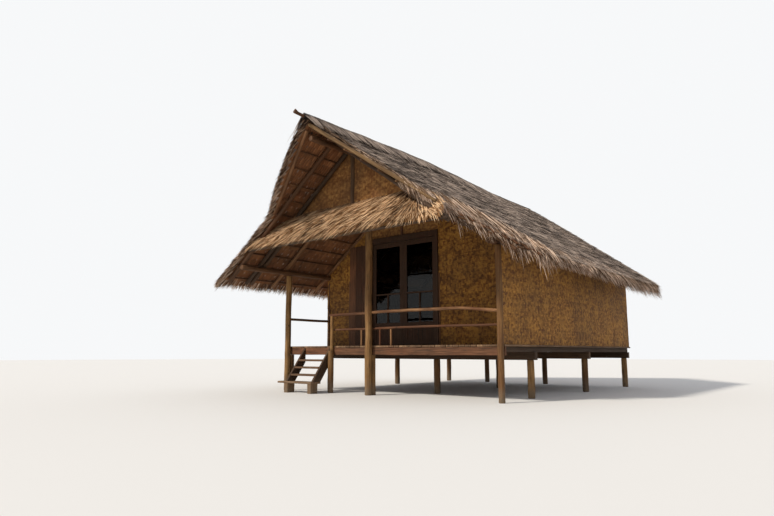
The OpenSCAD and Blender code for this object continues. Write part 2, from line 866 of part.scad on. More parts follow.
// The left rake pole lies under the thatch, from the ridge's tip to the front of the foremost rafters
left_rake_drop = thatch_t + seat + rake_pole_dia / 2;
left_rake_reach = ridge_reach - tail;
rake_foot_reach = front_rafter_reach + rafter_dia / 2 + 0.56 * rake_pole_dia;
left_rake_lean = (left_rake_reach - rake_break_reach + rake_inset) / rake_break_x;
rake_foot_x = (left_rake_reach - rake_foot_reach) / left_rake_lean;

// The right rake pole lies on the ends of the battens, in front of the thatch's straight edge
right_rake_drop = thatch_t - rake_pole_dia / 2;
rake_skew = sqrt(1 + pow(right_rake_lean, 2));
function right_rake_y(x) = rake_y(x, 1) + rake_skew * rake_pole_dia / 2;

module rake_poles() {
    top_x = 0.6 * rake_pole_dia;
    end_x = rake_end_x - rake_pole_dia;
    post_wood() {
        pole([-top_x, front_y - left_rake_reach + left_rake_lean * top_x, roof_z(top_x, left_rake_drop)],
             [-rake_foot_x, front_y - rake_foot_reach, roof_z(rake_foot_x, left_rake_drop)], rake_pole_dia);
        pole([top_x, right_rake_y(top_x), roof_z(top_x, right_rake_drop, 1)],
             [end_x, right_rake_y(end_x), roof_z(end_x, right_rake_drop, 1)], rake_pole_dia);
    }
}

// Battens start behind the left rake pole or under the right one, and past its foot just inside the edge
batten_count = 11;
top_batten_x = 90;
function batten_front(x, side) = x > (side < 0 ? rake_foot_x + batten_dia : rake_end_x)
    ? rake_y(x, side) + batten_inset
    : side < 0 ? front_y - left_rake_reach + left_rake_lean * x + rake_pole_dia : right_rake_y(x);

module battens(side) {
    step = (eave_x - rafter_inset - top_batten_x - batten_dia) / (batten_count - 1);
    dark_wood()
        for (i = [0 : batten_count - 1]) {
            x = top_batten_x + i * step;
            pole([side * x, batten_front(x, side), roof_z(x, batten_drop, side)],
                 [side * x, roof_back_y - batten_dia, roof_z(x, batten_drop, side)], batten_dia);
        }
}

module left_battens() { battens(-1); }
module right_battens() { battens(1); }

// Thatch

// One slope in section: a straight underside and a step at the foot of each course
module course_profile(side) {
    run = eave_x / course_count;
    top = [for (i = [0 : course_count - 1], low = [0, 1])
           let (x = (i + low) * run)
           [x, roof_z(x, 0, side) + (low > 0 ? 0 : -course_step)]];
    polygon(concat(top, [[eave_x, roof_z(eave_x, thatch_t, side)], [0, roof_z(0, thatch_t, side)]]));
}

// Plan of one slope's front edge. On the right its upper part runs along the back of the rake pole.
edge_steps = 5;
function edge_x(i) = i <= edge_steps ? rake_break_x * i / edge_steps
    : rake_break_x + (eave_x - rake_break_x) * (i - edge_steps) / edge_steps;
function front_edge(side) = side < 0
    ? [for (i = [0 : 2 * edge_steps]) [edge_x(i), rake_y(edge_x(i), side)]]
    : concat([for (x = [0, rake_end_x]) [x, rake_y(x, side) + rake_skew * (rake_pole_dia + seat)]],
             [for (x = [rake_end_x, eave_x]) [x, rake_y(x, side)]]);

module rake_plan(side) {
    polygon(concat(front_edge(side), [[eave_x, roof_back_y], [0, roof_back_y]]));
}

module slope_thatch(side) {
    difference() {
        intersection() {
            translate([0, roof_back_y, 0])
                rotate([90, 0, 0])
                    linear_extrude(roof_back_y - rake_y(0, side))
                        course_profile(side);
            linear_extrude(2 * ridge_h)
                rake_plan(side);
        }
        tip_pole(2 * seat);
    }
}

module left_thatch() {
    leaf_thatch()
        mirror([1, 0, 0])
            slope_thatch(-1);
}

module right_thatch() {
    leaf_thatch()
        slope_thatch(1);
}

// The cap's leaves are folded over a pole that lies in the crease between the slopes
cap_rest = seat;
tip_pole_z = ridge_h + cap_rest + cap_t - tip_pole_dia / 2 - tip_sink;

module ridge_cap() {
    leaf_thatch()
        difference() {
            translate([0, roof_back_y, 0])
                rotate([90, 0, 0])
                    linear_extrude(roof_back_y - front_y + ridge_reach)
                        polygon([[-cap_w, roof_z(cap_w, 0) + cap_rest], [0, ridge_h + cap_rest],
                                 [cap_w, roof_z(cap_w, 0, 1) + cap_rest],
                                 [cap_w, roof_z(cap_w, 0, 1) + cap_rest + cap_t * 0.6],
                                 [0, ridge_h + cap_rest + cap_t],
                                 [-cap_w, roof_z(cap_w, 0) + cap_rest + cap_t * 0.6]]);
            tip_pole(2 * seat);
        }
}

module tip_pole(extra) {
    pole([0, front_y + roof_front - extra, tip_pole_z], [0, roof_back_y + extra, tip_pole_z],
         tip_pole_dia + extra);
}

module ridge_tip_pole() {
    post_wood()
        tip_pole(0);
}

// Gable and skirt

module front_gable() {
    woven_mat()
        intersection() {
            difference() {
                block([-eave_x, gable_y - wall_t / 2, tie_z - tie_dia / 2],
                      [eave_x, gable_y + wall_t / 2, ridge_h]);
                ridge_notch(gable_y);
                translate([0, gable_y, 0])
                    cylinder(h = ridge_h, d = king_post_dia + 2 * seat);
            }
            under_roof(batten_drop + batten_dia / 2 + seat, gable_y - wall_t, gable_y + wall_t);
        }
}

// The king post stands between the gable wall's two halves, from the wall's foot to the ridge pole
module king_post() {
    low = tie_z - tie_dia / 2;
    dark_wood()
        translate([0, gable_y, low])
            cylinder(h = ridge_pole_z - ridge_pole_dia / 2 - seat - low, d = king_post_dia);
}

// The skirt's upper face falls from the gable wall to its foot, and its ends run out under the roof
skirt_top_y = gable_y - wall_t / 2 - seat;
skirt_foot_y = front_y - skirt_reach;
skirt_angle = atan((skirt_top_h - skirt_foot_h) / (skirt_top_y - skirt_foot_y));
function skirt_z(y, drop) = skirt_foot_h + (y - skirt_foot_y) * tan(skirt_angle) - drop / cos(skirt_angle);

module skirt_thatch() {
    leaf_thatch()
        intersection() {
            difference() {
                translate([-eave_x, 0, 0])
                    rotate([90, 0, 90])
                        linear_extrude(2 * eave_x)
                            polygon([[skirt_top_y, skirt_z(skirt_top_y, 0)], [skirt_foot_y, skirt_foot_h],
                                     [skirt_foot_y + skirt_t * sin(skirt_angle),
                                      skirt_foot_h - skirt_t * cos(skirt_angle)],
                                     [skirt_top_y, skirt_z(skirt_top_y, skirt_t)]]);
                translate([0, gable_y, 0])
                    cylinder(h = ridge_h, d = king_post_dia + 2 * seat);
                for (side = [-1, 1])
                    for (row = [-front_rafter_reach, -gable_reach - gable_step])
                        pole([0, front_y + row, roof_z(0, rafter_drop, side)],
                             [side * eave_x, front_y + row, roof_z(eave_x, rafter_drop, side)],
                             rafter_dia + 2 * seat);
            }
            under_roof(batten_drop + batten_dia / 2 + seat, front_y - 2 * skirt_reach, front_y);
        }
}

// Short rafters under the skirt, from the gable wall to a pole across the foremost rafters
skirt_pole_y = front_y - front_rafter_reach - (rafter_dia + skirt_pole_dia) / 2 - seat;
stick_drop = skirt_t + seat + stick_dia / 2;
skirt_pole_z = skirt_z(skirt_pole_y, stick_drop + (stick_dia + skirt_pole_dia) / 2 + seat);

function skirt_pole_reach(side) =
    (roof_z(0, rafter_drop, side) - skirt_pole_z) / slope(side) + skirt_pole_tail;

module skirt_frame() {
    top_y = skirt_top_y - stick_dia / 2 * sin(skirt_angle) - stick_clear;
    foot_y = skirt_pole_y - stick_tail;
    dark_wood() {
        pole([-skirt_pole_reach(-1), skirt_pole_y, skirt_pole_z],
             [skirt_pole_reach(1), skirt_pole_y, skirt_pole_z], skirt_pole_dia);
        for (i = [-3 : 2])
            translate([(i + 0.5) * stick_gap, 0, 0])
                pole([0, top_y, skirt_z(top_y, stick_drop)], [0, foot_y, skirt_z(foot_y, stick_drop)],
                     stick_dia);
    }
}

stilts();
left_post();
middle_post();
right_post();
room_posts();
stair_post();
floor_beams();
floor_joists();
deck_fascia();
porch_deck();
room_floor();
stair_strings();
stair_treads();
front_wall_left();
front_wall_right();
over_door_wall();
left_wall();
right_wall();
back_wall();
wall_trim();
door_frame();
left_door_leaf();
right_door_leaf();
left_door_glass();
right_door_glass();
top_rail();
middle_rail();
rail_uprights();
side_rail();
wall_plates();
tie_beams();
ridge_pole();
left_rafters();
right_rafters();
left_battens();
right_battens();
rake_poles();
front_gable();
king_post();
skirt_frame();
skirt_thatch();
left_thatch();
right_thatch();
ridge_cap();
ridge_tip_pole();
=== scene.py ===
# %% [markdown]
# # A thatched house on stilts
#
# The solids of this house are ready made: posts, beams, walls, a door and slabs of thatch, all at their
# real size. They are right, but too clean. A real hut of this kind is made of round poles that were never
# planed, boards with gaps between them, mats woven from split bamboo, and a roof of thousands of dry
# leaves. They could be modelled by hand, one after the other. This lesson makes them as surfaces worked out
# with numpy, one whole array at a time, and lays them over the solids, because then a thousand leaves take
# no more lines than one.

# %% Frame
import math

import bpy
import numpy as np
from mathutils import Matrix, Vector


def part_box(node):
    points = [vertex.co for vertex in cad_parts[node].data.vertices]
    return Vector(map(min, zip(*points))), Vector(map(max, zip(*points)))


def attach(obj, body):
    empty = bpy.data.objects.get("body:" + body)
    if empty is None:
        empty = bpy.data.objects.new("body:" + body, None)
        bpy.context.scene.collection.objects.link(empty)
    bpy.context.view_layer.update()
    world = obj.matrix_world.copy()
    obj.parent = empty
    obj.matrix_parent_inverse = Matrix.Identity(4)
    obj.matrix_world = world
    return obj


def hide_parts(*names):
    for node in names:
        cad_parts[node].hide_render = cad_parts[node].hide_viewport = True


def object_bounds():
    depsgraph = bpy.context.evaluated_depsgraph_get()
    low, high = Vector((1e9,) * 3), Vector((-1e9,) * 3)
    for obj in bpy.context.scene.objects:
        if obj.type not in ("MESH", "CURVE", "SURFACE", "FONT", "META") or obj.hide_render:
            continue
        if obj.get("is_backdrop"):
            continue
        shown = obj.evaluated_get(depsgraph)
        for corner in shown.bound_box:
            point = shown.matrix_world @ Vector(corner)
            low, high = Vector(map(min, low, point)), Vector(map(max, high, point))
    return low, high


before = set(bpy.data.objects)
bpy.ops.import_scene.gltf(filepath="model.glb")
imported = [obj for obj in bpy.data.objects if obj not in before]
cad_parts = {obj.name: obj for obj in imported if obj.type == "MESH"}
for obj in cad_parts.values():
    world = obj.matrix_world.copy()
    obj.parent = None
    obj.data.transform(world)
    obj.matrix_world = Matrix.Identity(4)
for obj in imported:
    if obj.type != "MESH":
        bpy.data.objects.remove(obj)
cad_low, cad_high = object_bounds()
print("solids:", len(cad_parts), "size:", [round(v, 3) for v in cad_high - cad_low])

# %% [markdown]
# ## The roof's plane
#
# Almost everything here follows the roof, so its numbers come first. The ridge, the eaves and the back edge
# are read from the solids. The slopes and the front edge are named once. The left slope is a little steeper
# than the right one. On the left the edge runs back from the ridge's tip in a curve to a break and then on
# to the eave. On the right it is straight: behind a slanting pole at first, and past its end back to a
# corner behind the porch. Each piece could measure the solids for itself, but a few named values keep
# leaves, mats and ridge on one roof.

# %% Roof numbers
RISE = {-1: 0.775, 1: 0.735}  # rise of each slope over a metre across; left is -1 and right is 1
COS, SIN = ({side: turn(math.atan(rise)) for side, rise in RISE.items()} for turn in (math.cos, math.sin))
THATCH = 0.08  # thickness of the thatch, square to the slope
BATTEN = 0.032  # diameter of a batten
RAFTER = 0.075  # diameter of a rafter
TIP_REACH = 1.85  # reach of the ridge's thatch in front of the porch posts
BREAK_X, BREAK_REACH = 1.68, 1.24  # the break in the left edge: its place across, and its reach
LEFT_EAVE_REACH = 1.30  # reach of the left edge at the eave
LEFT_CURVE = 1.6  # power of the left edge's curve between the ridge's tip and the break
# Right edge, as (distance from the middle, reach in front of the posts)
RIGHT_EDGE = ((0.0, 1.784), (2.08, 1.072), (2.13, 1.12), (3.18, -0.35))

FRONT_Y = sum(corner.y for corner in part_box("middle_post")) / 2
DECK_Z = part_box("porch_deck")[1].z
CAP_T = 0.06  # thickness of the ridge's leaves over the crease of the slopes
EAVE_X, BACK_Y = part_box("right_thatch")[1][:2]
RIDGE_Z = cad_high.z - CAP_T
SLOPE_LEN = {side: EAVE_X / COS[side] for side in RISE}
# Level of the finished ridge, as (place along the house, height): it rises a little and sags to the back
RIDGE_LINE = ((FRONT_Y - TIP_REACH, 4.65), (-1.6, 4.67), (-0.7, 4.67), (1.6, 4.58), (BACK_Y, 4.46))
CAP_DEPTH = 0.07  # height of the finished ridge over the thatch's face


def front_edge(side, x):
    """Place along the house of the roof's front edge, at a distance from the middle. The left edge is a power
    of that distance from the ridge's tip to the break, then a square from the break to the eave."""
    if side > 0:
        return FRONT_Y - np.interp(x, *zip(*RIGHT_EDGE))
    upper = TIP_REACH + (BREAK_REACH - TIP_REACH) * np.clip(x / BREAK_X, 0, 1) ** LEFT_CURVE
    beyond = np.clip((x - BREAK_X) / (EAVE_X - BREAK_X), 0, None)
    return FRONT_Y - upper - (LEFT_EAVE_REACH - BREAK_REACH) * beyond**2


def ridge_top(y):
    """Height of the finished ridge at a place along the house, on straight lines between the points above."""
    return np.interp(y, *zip(*RIDGE_LINE))


print("slope lengths:", [round(v, 3) for v in SLOPE_LEN.values()])
print("porch posts at", round(FRONT_Y, 3), "and deck at", round(DECK_Z, 3))

# %% [markdown]
# ## Camera
#
# The photo was taken from low down, in front of the house and to its right. Its lines give the eye's place,
# the two angles and the focal length in pixels, which becomes a lens on a 36 mm sensor. A camera could be
# moved by hand until the view looks right, but with a solved one every post can be compared with the photo.

# %% Camera
PHOTO_W = 774  # the photo's width in pixels
FOCAL_PX = 604.4  # focal length in those pixels
SENSOR_MM = 36
YAW, TILT = 39.953, 8.861  # degrees to the left of the house's length, and degrees up
EYE = (7.113, -10.285, 0.761)

lens = bpy.data.cameras.new("camera")
lens.sensor_width = SENSOR_MM
lens.lens = FOCAL_PX / PHOTO_W * SENSOR_MM
camera = bpy.data.objects.new("camera", lens)
bpy.context.scene.collection.objects.link(camera)
camera.location = EYE
camera.rotation_euler = (math.radians(90 + TILT), 0, math.radians(YAW))
bpy.context.scene.camera = camera
print("lens in mm:", round(lens.lens, 2))

# %% [markdown]
# ## Shader helpers
#
# A material is a small graph. These helpers add a node and set or link its inputs, so that each finish
# below reads as a few lines of what it does. The same graphs could be drawn by hand in the editor, but in
# code they can be read, repeated and changed together.

# %% Shader helpers
def feed(tree, inputs, values):
    """Sets each input, by name or by number, to its value, or links it where the value is a socket."""
    for key, value in values.items():
        if isinstance(value, bpy.types.NodeSocket):
            tree.links.new(value, inputs[key])
        else:
            inputs[key].default_value = value


def add(tree, kind, values=None, **settings):
    """Adds a node with its settings, and feeds its inputs."""
    made = tree.nodes.new(kind)
    for key, value in settings.items():
        setattr(made, key, value)
    feed(tree, made.inputs, values or {})
    return made


def calc(tree, operation, a, b=0.0, c=0.0):
    """One step of arithmetic on a, b and c, in this order."""
    return add(tree, "ShaderNodeMath", {0: a, 1: b, 2: c}, operation=operation).outputs[0]


def fade(tree, value, start, end, low=0.0, high=1.0):
    """Runs smoothly from low to high while value runs from start to end."""
    values = {"Value": value, "From Min": start, "From Max": end, "To Min": low, "To Max": high}
    return add(tree, "ShaderNodeMapRange", values, interpolation_type="SMOOTHSTEP").outputs[0]


def mix(tree, share, a, b):
    """Colour a where share is nought, colour b where it is one. Inputs 6 and 7 are the node's two colours."""
    return add(tree, "ShaderNodeMix", {0: share, 6: a, 7: b}, data_type="RGBA").outputs[2]


def scaled(tree, vector, x, y, z):
    """A place times a factor for each axis: the larger the factor, the finer a pattern is along it."""
    return add(tree, "ShaderNodeMapping", {"Vector": vector, "Scale": (x, y, z)}).outputs[0]


def cloud(tree, vector, scale=1.0, detail=3.0, rough=0.55):
    """Soft noise round a half, with about scale patches to a metre."""
    values = {"Vector": vector, "Scale": scale, "Detail": detail, "Roughness": rough}
    return add(tree, "ShaderNodeTexNoise", values).outputs[0]


def bump(tree, height, strength, distance):
    """A normal that leans as a surface with this height would; distance is how high one stands, in metres."""
    values = {"Height": height, "Strength": strength, "Distance": distance}
    return add(tree, "ShaderNodeBump", values).outputs[0]


# %% [markdown]
# ## Groups and materials
#
# An effect that several materials share is a group: a graph that is built once, has named sockets like any
# other node, and takes each material's own values. The same nodes could be copied into every material, but
# then each change would have to be made in all of them.

# %% Groups and materials
VALUE, COLOUR, VECTOR = "NodeSocketFloat", "NodeSocketColor", "NodeSocketVector"


def rgb(red, green, blue):
    """A colour as sockets take it, with an alpha of one."""
    return (red, green, blue, 1.0)


def open_group(name, inputs, outputs):
    """A node group with named sockets: the tree, its inputs as sockets to read, and its outputs to link."""
    tree = bpy.data.node_groups.new(name, "ShaderNodeTree")
    for label, kind, value in inputs:
        tree.interface.new_socket(label, in_out="INPUT", socket_type=kind).default_value = value
    for label, kind in outputs:
        tree.interface.new_socket(label, in_out="OUTPUT", socket_type=kind)
    return tree, tree.nodes.new("NodeGroupInput").outputs, tree.nodes.new("NodeGroupOutput").inputs


def use_group(tree, shared, values):
    """Places a group in a tree, feeds it, and gives its outputs."""
    made = add(tree, "ShaderNodeGroup", node_tree=shared)
    feed(tree, made.inputs, values)
    return made.outputs


def open_material(name):
    """A new material, its tree and its Principled shader."""
    made = bpy.data.materials.new(name)
    made.use_nodes = True
    return made, made.node_tree, made.node_tree.nodes["Principled BSDF"]


# %% [markdown]
# ## Weather
#
# Everything out of doors is patchy. One group shared by all finishes lays wide stains over a colour, and
# mud and splashed earth over whatever stands near the ground. Stains could be painted piece by piece, but a
# group that reads the place on the house lets them run on from one piece to the next, as real ones do.

# %% Weather group
MUD, STAIN = rgb(0.16, 0.12, 0.08), rgb(0.05, 0.035, 0.02)
weather, given, result = open_group(
    "weather",
    [("Colour", COLOUR, rgb(0.5, 0.5, 0.5)), ("Stains", VALUE, 0.35), ("Mud", COLOUR, MUD)],
    [("Colour", COLOUR)],
)
place = add(weather, "ShaderNodeTexCoord").outputs["Object"]
patches = cloud(weather, place, scale=1.7, detail=5.0, rough=0.6)
stain = calc(weather, "MULTIPLY", fade(weather, patches, 0.35, 0.68, low=1.0, high=0.0), given["Stains"])
stained = mix(weather, stain, given["Colour"], STAIN)
# The mud thins out over the lowest third of a metre or so, along an uneven line
height = add(weather, "ShaderNodeSeparateXYZ", {0: place}).outputs["Z"]
uneven = calc(weather, "MULTIPLY_ADD", cloud(weather, place, scale=9.0), 0.35, height)
splash = fade(weather, uneven, 0.2, 0.5, low=0.75, high=0.0)
weather.links.new(mix(weather, splash, stained, given["Mud"]), result["Colour"])
print("weather group:", len(weather.nodes), "nodes")

# %% [markdown]
# ## Wood
#
# Round poles and boards have the same grain: long streaks, fine pores and a few drying cracks. It has to
# run along each pole, whichever way the pole lies, so it reads the pieces' own map, which holds metres
# across and metres along. Every pole also carries a number called tone, so that no two have quite the same
# colour. A picture of wood would repeat itself and have to be fitted to each pole, while noise has no edges
# and never repeats.

# %% Wood group
grain, given, result = open_group(
    "grain",
    [("Place", VECTOR, (0, 0, 0)), ("Dark", COLOUR, rgb(0.1, 0.06, 0.03)),
     ("Light", COLOUR, rgb(0.4, 0.3, 0.2)), ("Cracks", VALUE, 0.6)],
    [("Colour", COLOUR), ("Height", VALUE), ("Roughness", VALUE)],
)
# Four clouds, each stretched along the pole by its own waves to a metre across and along
streak = cloud(grain, scaled(grain, given["Place"], 55, 2.2, 1), detail=4.0, rough=0.6)
pore = cloud(grain, scaled(grain, given["Place"], 420, 14, 1), detail=2.0)
knot = cloud(grain, scaled(grain, given["Place"], 5, 1.6, 1), detail=2.0)
split = cloud(grain, scaled(grain, given["Place"], 30, 0.9, 1), detail=1.0)
# A crack runs where the last cloud passes through a half
crack = calc(grain, "ABSOLUTE", calc(grain, "SUBTRACT", split, 0.5))
crack = calc(grain, "MULTIPLY", fade(grain, crack, 0.004, 0.014, low=1.0, high=0.0), given["Cracks"])
# The shade is the sum of the clouds and the pole's own tone, each by its weight and less half of it or so
tone = add(grain, "ShaderNodeAttribute", attribute_name="tone").outputs["Fac"]
shade = calc(grain, "MULTIPLY_ADD", streak, 0.9, calc(grain, "MULTIPLY_ADD", pore, 0.35, -0.35))
shade = calc(grain, "ADD", shade, calc(grain, "MULTIPLY_ADD", knot, 0.6, -0.3))
shade = calc(grain, "MULTIPLY_ADD", tone, 0.45, calc(grain, "ADD", shade, -0.25))
wooden = mix(grain, fade(grain, shade, 0.05, 0.95), given["Dark"], given["Light"])
wooden = mix(grain, crack, wooden, rgb(0.015, 0.01, 0.006))
grain.links.new(wooden, result["Colour"])
depth = calc(grain, "SUBTRACT", calc(grain, "MULTIPLY_ADD", pore, 0.3, streak), crack)
grain.links.new(depth, result["Height"])
grain.links.new(fade(grain, streak, 0.2, 0.8, low=0.9, high=0.62), result["Roughness"])
print("grain group:", len(grain.nodes), "nodes")

# %% [markdown]
# ### Eight woods
#
# The posts are pale and golden, the rails redder, the boards reddish brown, and the timber under the floor
# and the roof is dark. The dark wood is also painted shade on the rafters at the gable and behind the right
# slanting pole, and on the skirt's frame. They differ only in two colours, in their stains and in their
# cracks, so one function makes them all. The door's solids have no map, and there the grain runs along the
# height.

# %% Woods
def wood(name, dark, light, stains, cracks=0.6, on_solid=False):
    """Grain along the piece's map, or along the height on a solid, which has no map."""
    made, tree, shader = open_material(name)
    coordinates = add(tree, "ShaderNodeTexCoord").outputs
    if on_solid:
        apart = add(tree, "ShaderNodeSeparateXYZ", {0: coordinates["Object"]}).outputs
        across = calc(tree, "ADD", apart["X"], apart["Y"])
        spot = add(tree, "ShaderNodeCombineXYZ", {0: across, 1: apart["Z"]}).outputs[0]
    else:
        spot = coordinates["UV"]
    grown = use_group(tree, grain, {"Place": spot, "Dark": dark, "Light": light, "Cracks": cracks})
    aged = use_group(tree, weather, {"Colour": grown["Colour"], "Stains": stains, "Mud": MUD})
    tree.links.new(aged["Colour"], shader.inputs["Base Color"])
    tree.links.new(grown["Roughness"], shader.inputs["Roughness"])
    tree.links.new(bump(tree, grown["Height"], strength=0.5, distance=0.004), shader.inputs["Normal"])
    shader.inputs["Specular IOR Level"].default_value = 0.3
    return made


post_wood = wood("post wood", rgb(0.13, 0.055, 0.016), rgb(0.50, 0.29, 0.105), stains=0.32)
rail_wood = wood("rail wood", rgb(0.10, 0.034, 0.013), rgb(0.58, 0.31, 0.13), stains=0.3)
rake_wood = wood("rake wood", rgb(0.09, 0.044, 0.016), rgb(0.38, 0.23, 0.095), stains=0.2)
dark_wood = wood("dark wood", rgb(0.045, 0.022, 0.010), rgb(0.20, 0.105, 0.048), stains=0.35)
red_board = wood("red board", rgb(0.075, 0.028, 0.012), rgb(0.31, 0.13, 0.056), stains=0.3)
red_solid = wood("red solid", rgb(0.055, 0.023, 0.010), rgb(0.22, 0.090, 0.036), stains=0.3, on_solid=True)
deck_wood = wood("deck wood", rgb(0.13, 0.070, 0.036), rgb(0.46, 0.28, 0.15), stains=0.35, cracks=0.8)
roof_wood = wood("roof wood", rgb(0.085, 0.034, 0.012), rgb(0.44, 0.21, 0.085), stains=0.3)
print("materials with this grain:", grain.users)

# %% [markdown]
# ## Woven bamboo
#
# The walls are mats of split bamboo in a twill: each strip passes over two and under two, and each row
# starts one strip further on. The pattern needs no picture. With the strips numbered i upright and j
# across, the upright one lies on top where (i + j) modulo 4 is 0 or 1. Every visible stretch of a strip has
# its own random tone, which gives the mats their mottled look, and the heights of the strips give the bump.
# Real strips could be woven as meshes, but there are thousands on each wall and none is thicker than a
# millimetre, so a pattern is enough.

# %% Weave group
STRIP_W = 0.028  # width of a split bamboo strip
weave, given, result = open_group(
    "weave",
    [("Place", VECTOR, (0, 0, 0)), ("Strip", VALUE, 0.026), ("Dark", COLOUR, rgb(0.1, 0.06, 0.03)),
     ("Light", COLOUR, rgb(0.5, 0.35, 0.15)), ("Contrast", VALUE, 0.4), ("Gaps", VALUE, 0.6)],
    [("Colour", COLOUR), ("Height", VALUE)],
)
apart = add(weave, "ShaderNodeSeparateXYZ", {0: given["Place"]}).outputs
wobble = calc(weave, "MULTIPLY_ADD", cloud(weave, given["Place"], scale=7.0), 0.016, -0.008)
across = calc(weave, "DIVIDE", calc(weave, "ADD", apart["X"], wobble), given["Strip"])
along = calc(weave, "DIVIDE", calc(weave, "SUBTRACT", apart["Y"], wobble), given["Strip"])
upright, level = calc(weave, "FLOOR", across), calc(weave, "FLOOR", along)
turn = calc(weave, "ADD", upright, level)
step_in_four = calc(weave, "FLOORED_MODULO", turn, 4.0)
upright_on_top = calc(weave, "LESS_THAN", step_in_four, 1.5)
flat_on_top = calc(weave, "SUBTRACT", 1.0, upright_on_top)
# The number of the strip on top (level ones count from 57, to differ from upright ones), and of its stretch
level_no = calc(weave, "MULTIPLY", flat_on_top, calc(weave, "ADD", level, 57.0))
strip_no = calc(weave, "MULTIPLY_ADD", upright_on_top, upright, level_no)
stretch = calc(weave, "FLOOR", calc(weave, "DIVIDE", turn, 4.0))
one_stretch = add(weave, "ShaderNodeCombineXYZ", {0: strip_no, 1: stretch, 2: upright_on_top}).outputs[0]
one_strip = add(weave, "ShaderNodeCombineXYZ", {0: strip_no, 1: upright_on_top}).outputs[0]
stretch_tone = add(weave, "ShaderNodeTexWhiteNoise", {"Vector": one_stretch}).outputs["Value"]
strip_tone = add(weave, "ShaderNodeTexWhiteNoise", {"Vector": one_strip}).outputs["Value"]
# The place on that stretch, from 0 to 1 over its width and over its length, which is two strips
in_across, in_along = calc(weave, "FRACT", across), calc(weave, "FRACT", along)
width_share = calc(weave, "MULTIPLY", flat_on_top, in_along)
width_share = calc(weave, "MULTIPLY_ADD", upright_on_top, in_across, width_share)
length_share = calc(weave, "MULTIPLY", flat_on_top, in_across)
length_share = calc(weave, "MULTIPLY_ADD", upright_on_top, in_along, length_share)
length_share = calc(weave, "ADD", length_share, calc(weave, "FLOORED_MODULO", step_in_four, 2.0))
length_share = calc(weave, "MULTIPLY", 0.5, length_share)

# %% [markdown]
# ### Height and colour of the strips
#
# A strip is highest along its middle, and dips where it goes under the next ones. Where the height is least
# there is a gap, and gaps are dark. The colour is a sum of tones: the stretch's, the strip's, the mat's own
# and two clouds. A single random tone would do for a new mat, but an old one is blotched over and across
# its strips.

# %% Strips
def crown(share, power):
    """One in the middle of a strip and falling to nought at its two sides."""
    side = calc(weave, "ABSOLUTE", calc(weave, "MULTIPLY_ADD", share, 2.0, -1.0))
    return calc(weave, "SUBTRACT", 1.0, calc(weave, "POWER", side, power))


dipping = calc(weave, "MULTIPLY_ADD", crown(length_share, 2.0), 0.7, 0.3)
relief = calc(weave, "MULTIPLY", crown(width_share, 5.0), dipping)
blotch = cloud(weave, given["Place"], scale=3.2, detail=4.0, rough=0.65)
fleck = cloud(weave, given["Place"], scale=17.0, detail=2.0, rough=0.5)
own = add(weave, "ShaderNodeAttribute", attribute_name="tone").outputs["Fac"]
shade = calc(weave, "MULTIPLY", strip_tone, 0.25)
shade = calc(weave, "MULTIPLY_ADD", stretch_tone, given["Contrast"], shade)
shade = calc(weave, "MULTIPLY_ADD", own, 0.15, shade)
shade = calc(weave, "ADD", shade, calc(weave, "MULTIPLY_ADD", blotch, 1.1, -0.5))
shade = calc(weave, "ADD", shade, calc(weave, "MULTIPLY_ADD", fleck, 1.3, -0.62))
woven = mix(weave, fade(weave, shade, 0.0, 1.0), given["Dark"], given["Light"])
gap = calc(weave, "MULTIPLY", fade(weave, relief, 0.0, 0.45, low=1.0, high=0.0), given["Gaps"])
woven = mix(weave, gap, woven, rgb(0.03, 0.014, 0.005))
weave.links.new(woven, result["Colour"])
weave.links.new(relief, result["Height"])
print("weave group:", len(weave.nodes), "nodes")


def mat_finish(name, dark, light, contrast, gaps):
    """A woven mat: the weave in metres of the piece's map, with stains over it."""
    made, tree, shader = open_material(name)
    values = {"Strip": STRIP_W, "Dark": dark, "Light": light, "Contrast": contrast, "Gaps": gaps}
    values["Place"] = add(tree, "ShaderNodeTexCoord").outputs["UV"]
    cloth = use_group(tree, weave, values)
    aged = use_group(tree, weather, {"Colour": cloth["Colour"], "Stains": 0.35})
    tree.links.new(aged["Colour"], shader.inputs["Base Color"])
    tree.links.new(bump(tree, cloth["Height"], strength=0.7, distance=0.004), shader.inputs["Normal"])
    shader.inputs["Roughness"].default_value = 0.72
    shader.inputs["Specular IOR Level"].default_value = 0.2
    return made


woven_mat = mat_finish("woven mat", dark=rgb(0.125, 0.044, 0.009), light=rgb(0.50, 0.235, 0.045),
                       contrast=0.45, gaps=0.6)
gable_mat = mat_finish("gable mat", dark=rgb(0.17, 0.066, 0.018), light=rgb(0.50, 0.25, 0.075),
                       contrast=0.2, gaps=0.3)

# %% [markdown]
# ## Leaves
#
# A dry leaf is dark where it is old and wet, grey where the sun has bleached it, and straw coloured at a
# fresh tip. Each leaf's own tone picks its place between those colours, its map gives the way from root to
# tip, and wide clouds on the roof shift whole patches together. Each leaf could have a material of its own,
# but one that reads a number from the mesh gives thousands of leaves thousands of colours.

# %% Leaf group
leaf, given, result = open_group(
    "leaf",
    [("Place", VECTOR, (0, 0, 0)), ("Old", COLOUR, rgb(0.04, 0.03, 0.02)),
     ("Middle", COLOUR, rgb(0.15, 0.12, 0.09)), ("Fresh", COLOUR, rgb(0.5, 0.4, 0.25)), ("Tip", VALUE, 0.25)],
    [("Colour", COLOUR), ("Height", VALUE)],
)
own = add(leaf, "ShaderNodeAttribute", attribute_name="tone").outputs["Fac"]
spot = add(leaf, "ShaderNodeTexCoord").outputs["Object"]
apart = add(leaf, "ShaderNodeSeparateXYZ", {0: given["Place"]}).outputs
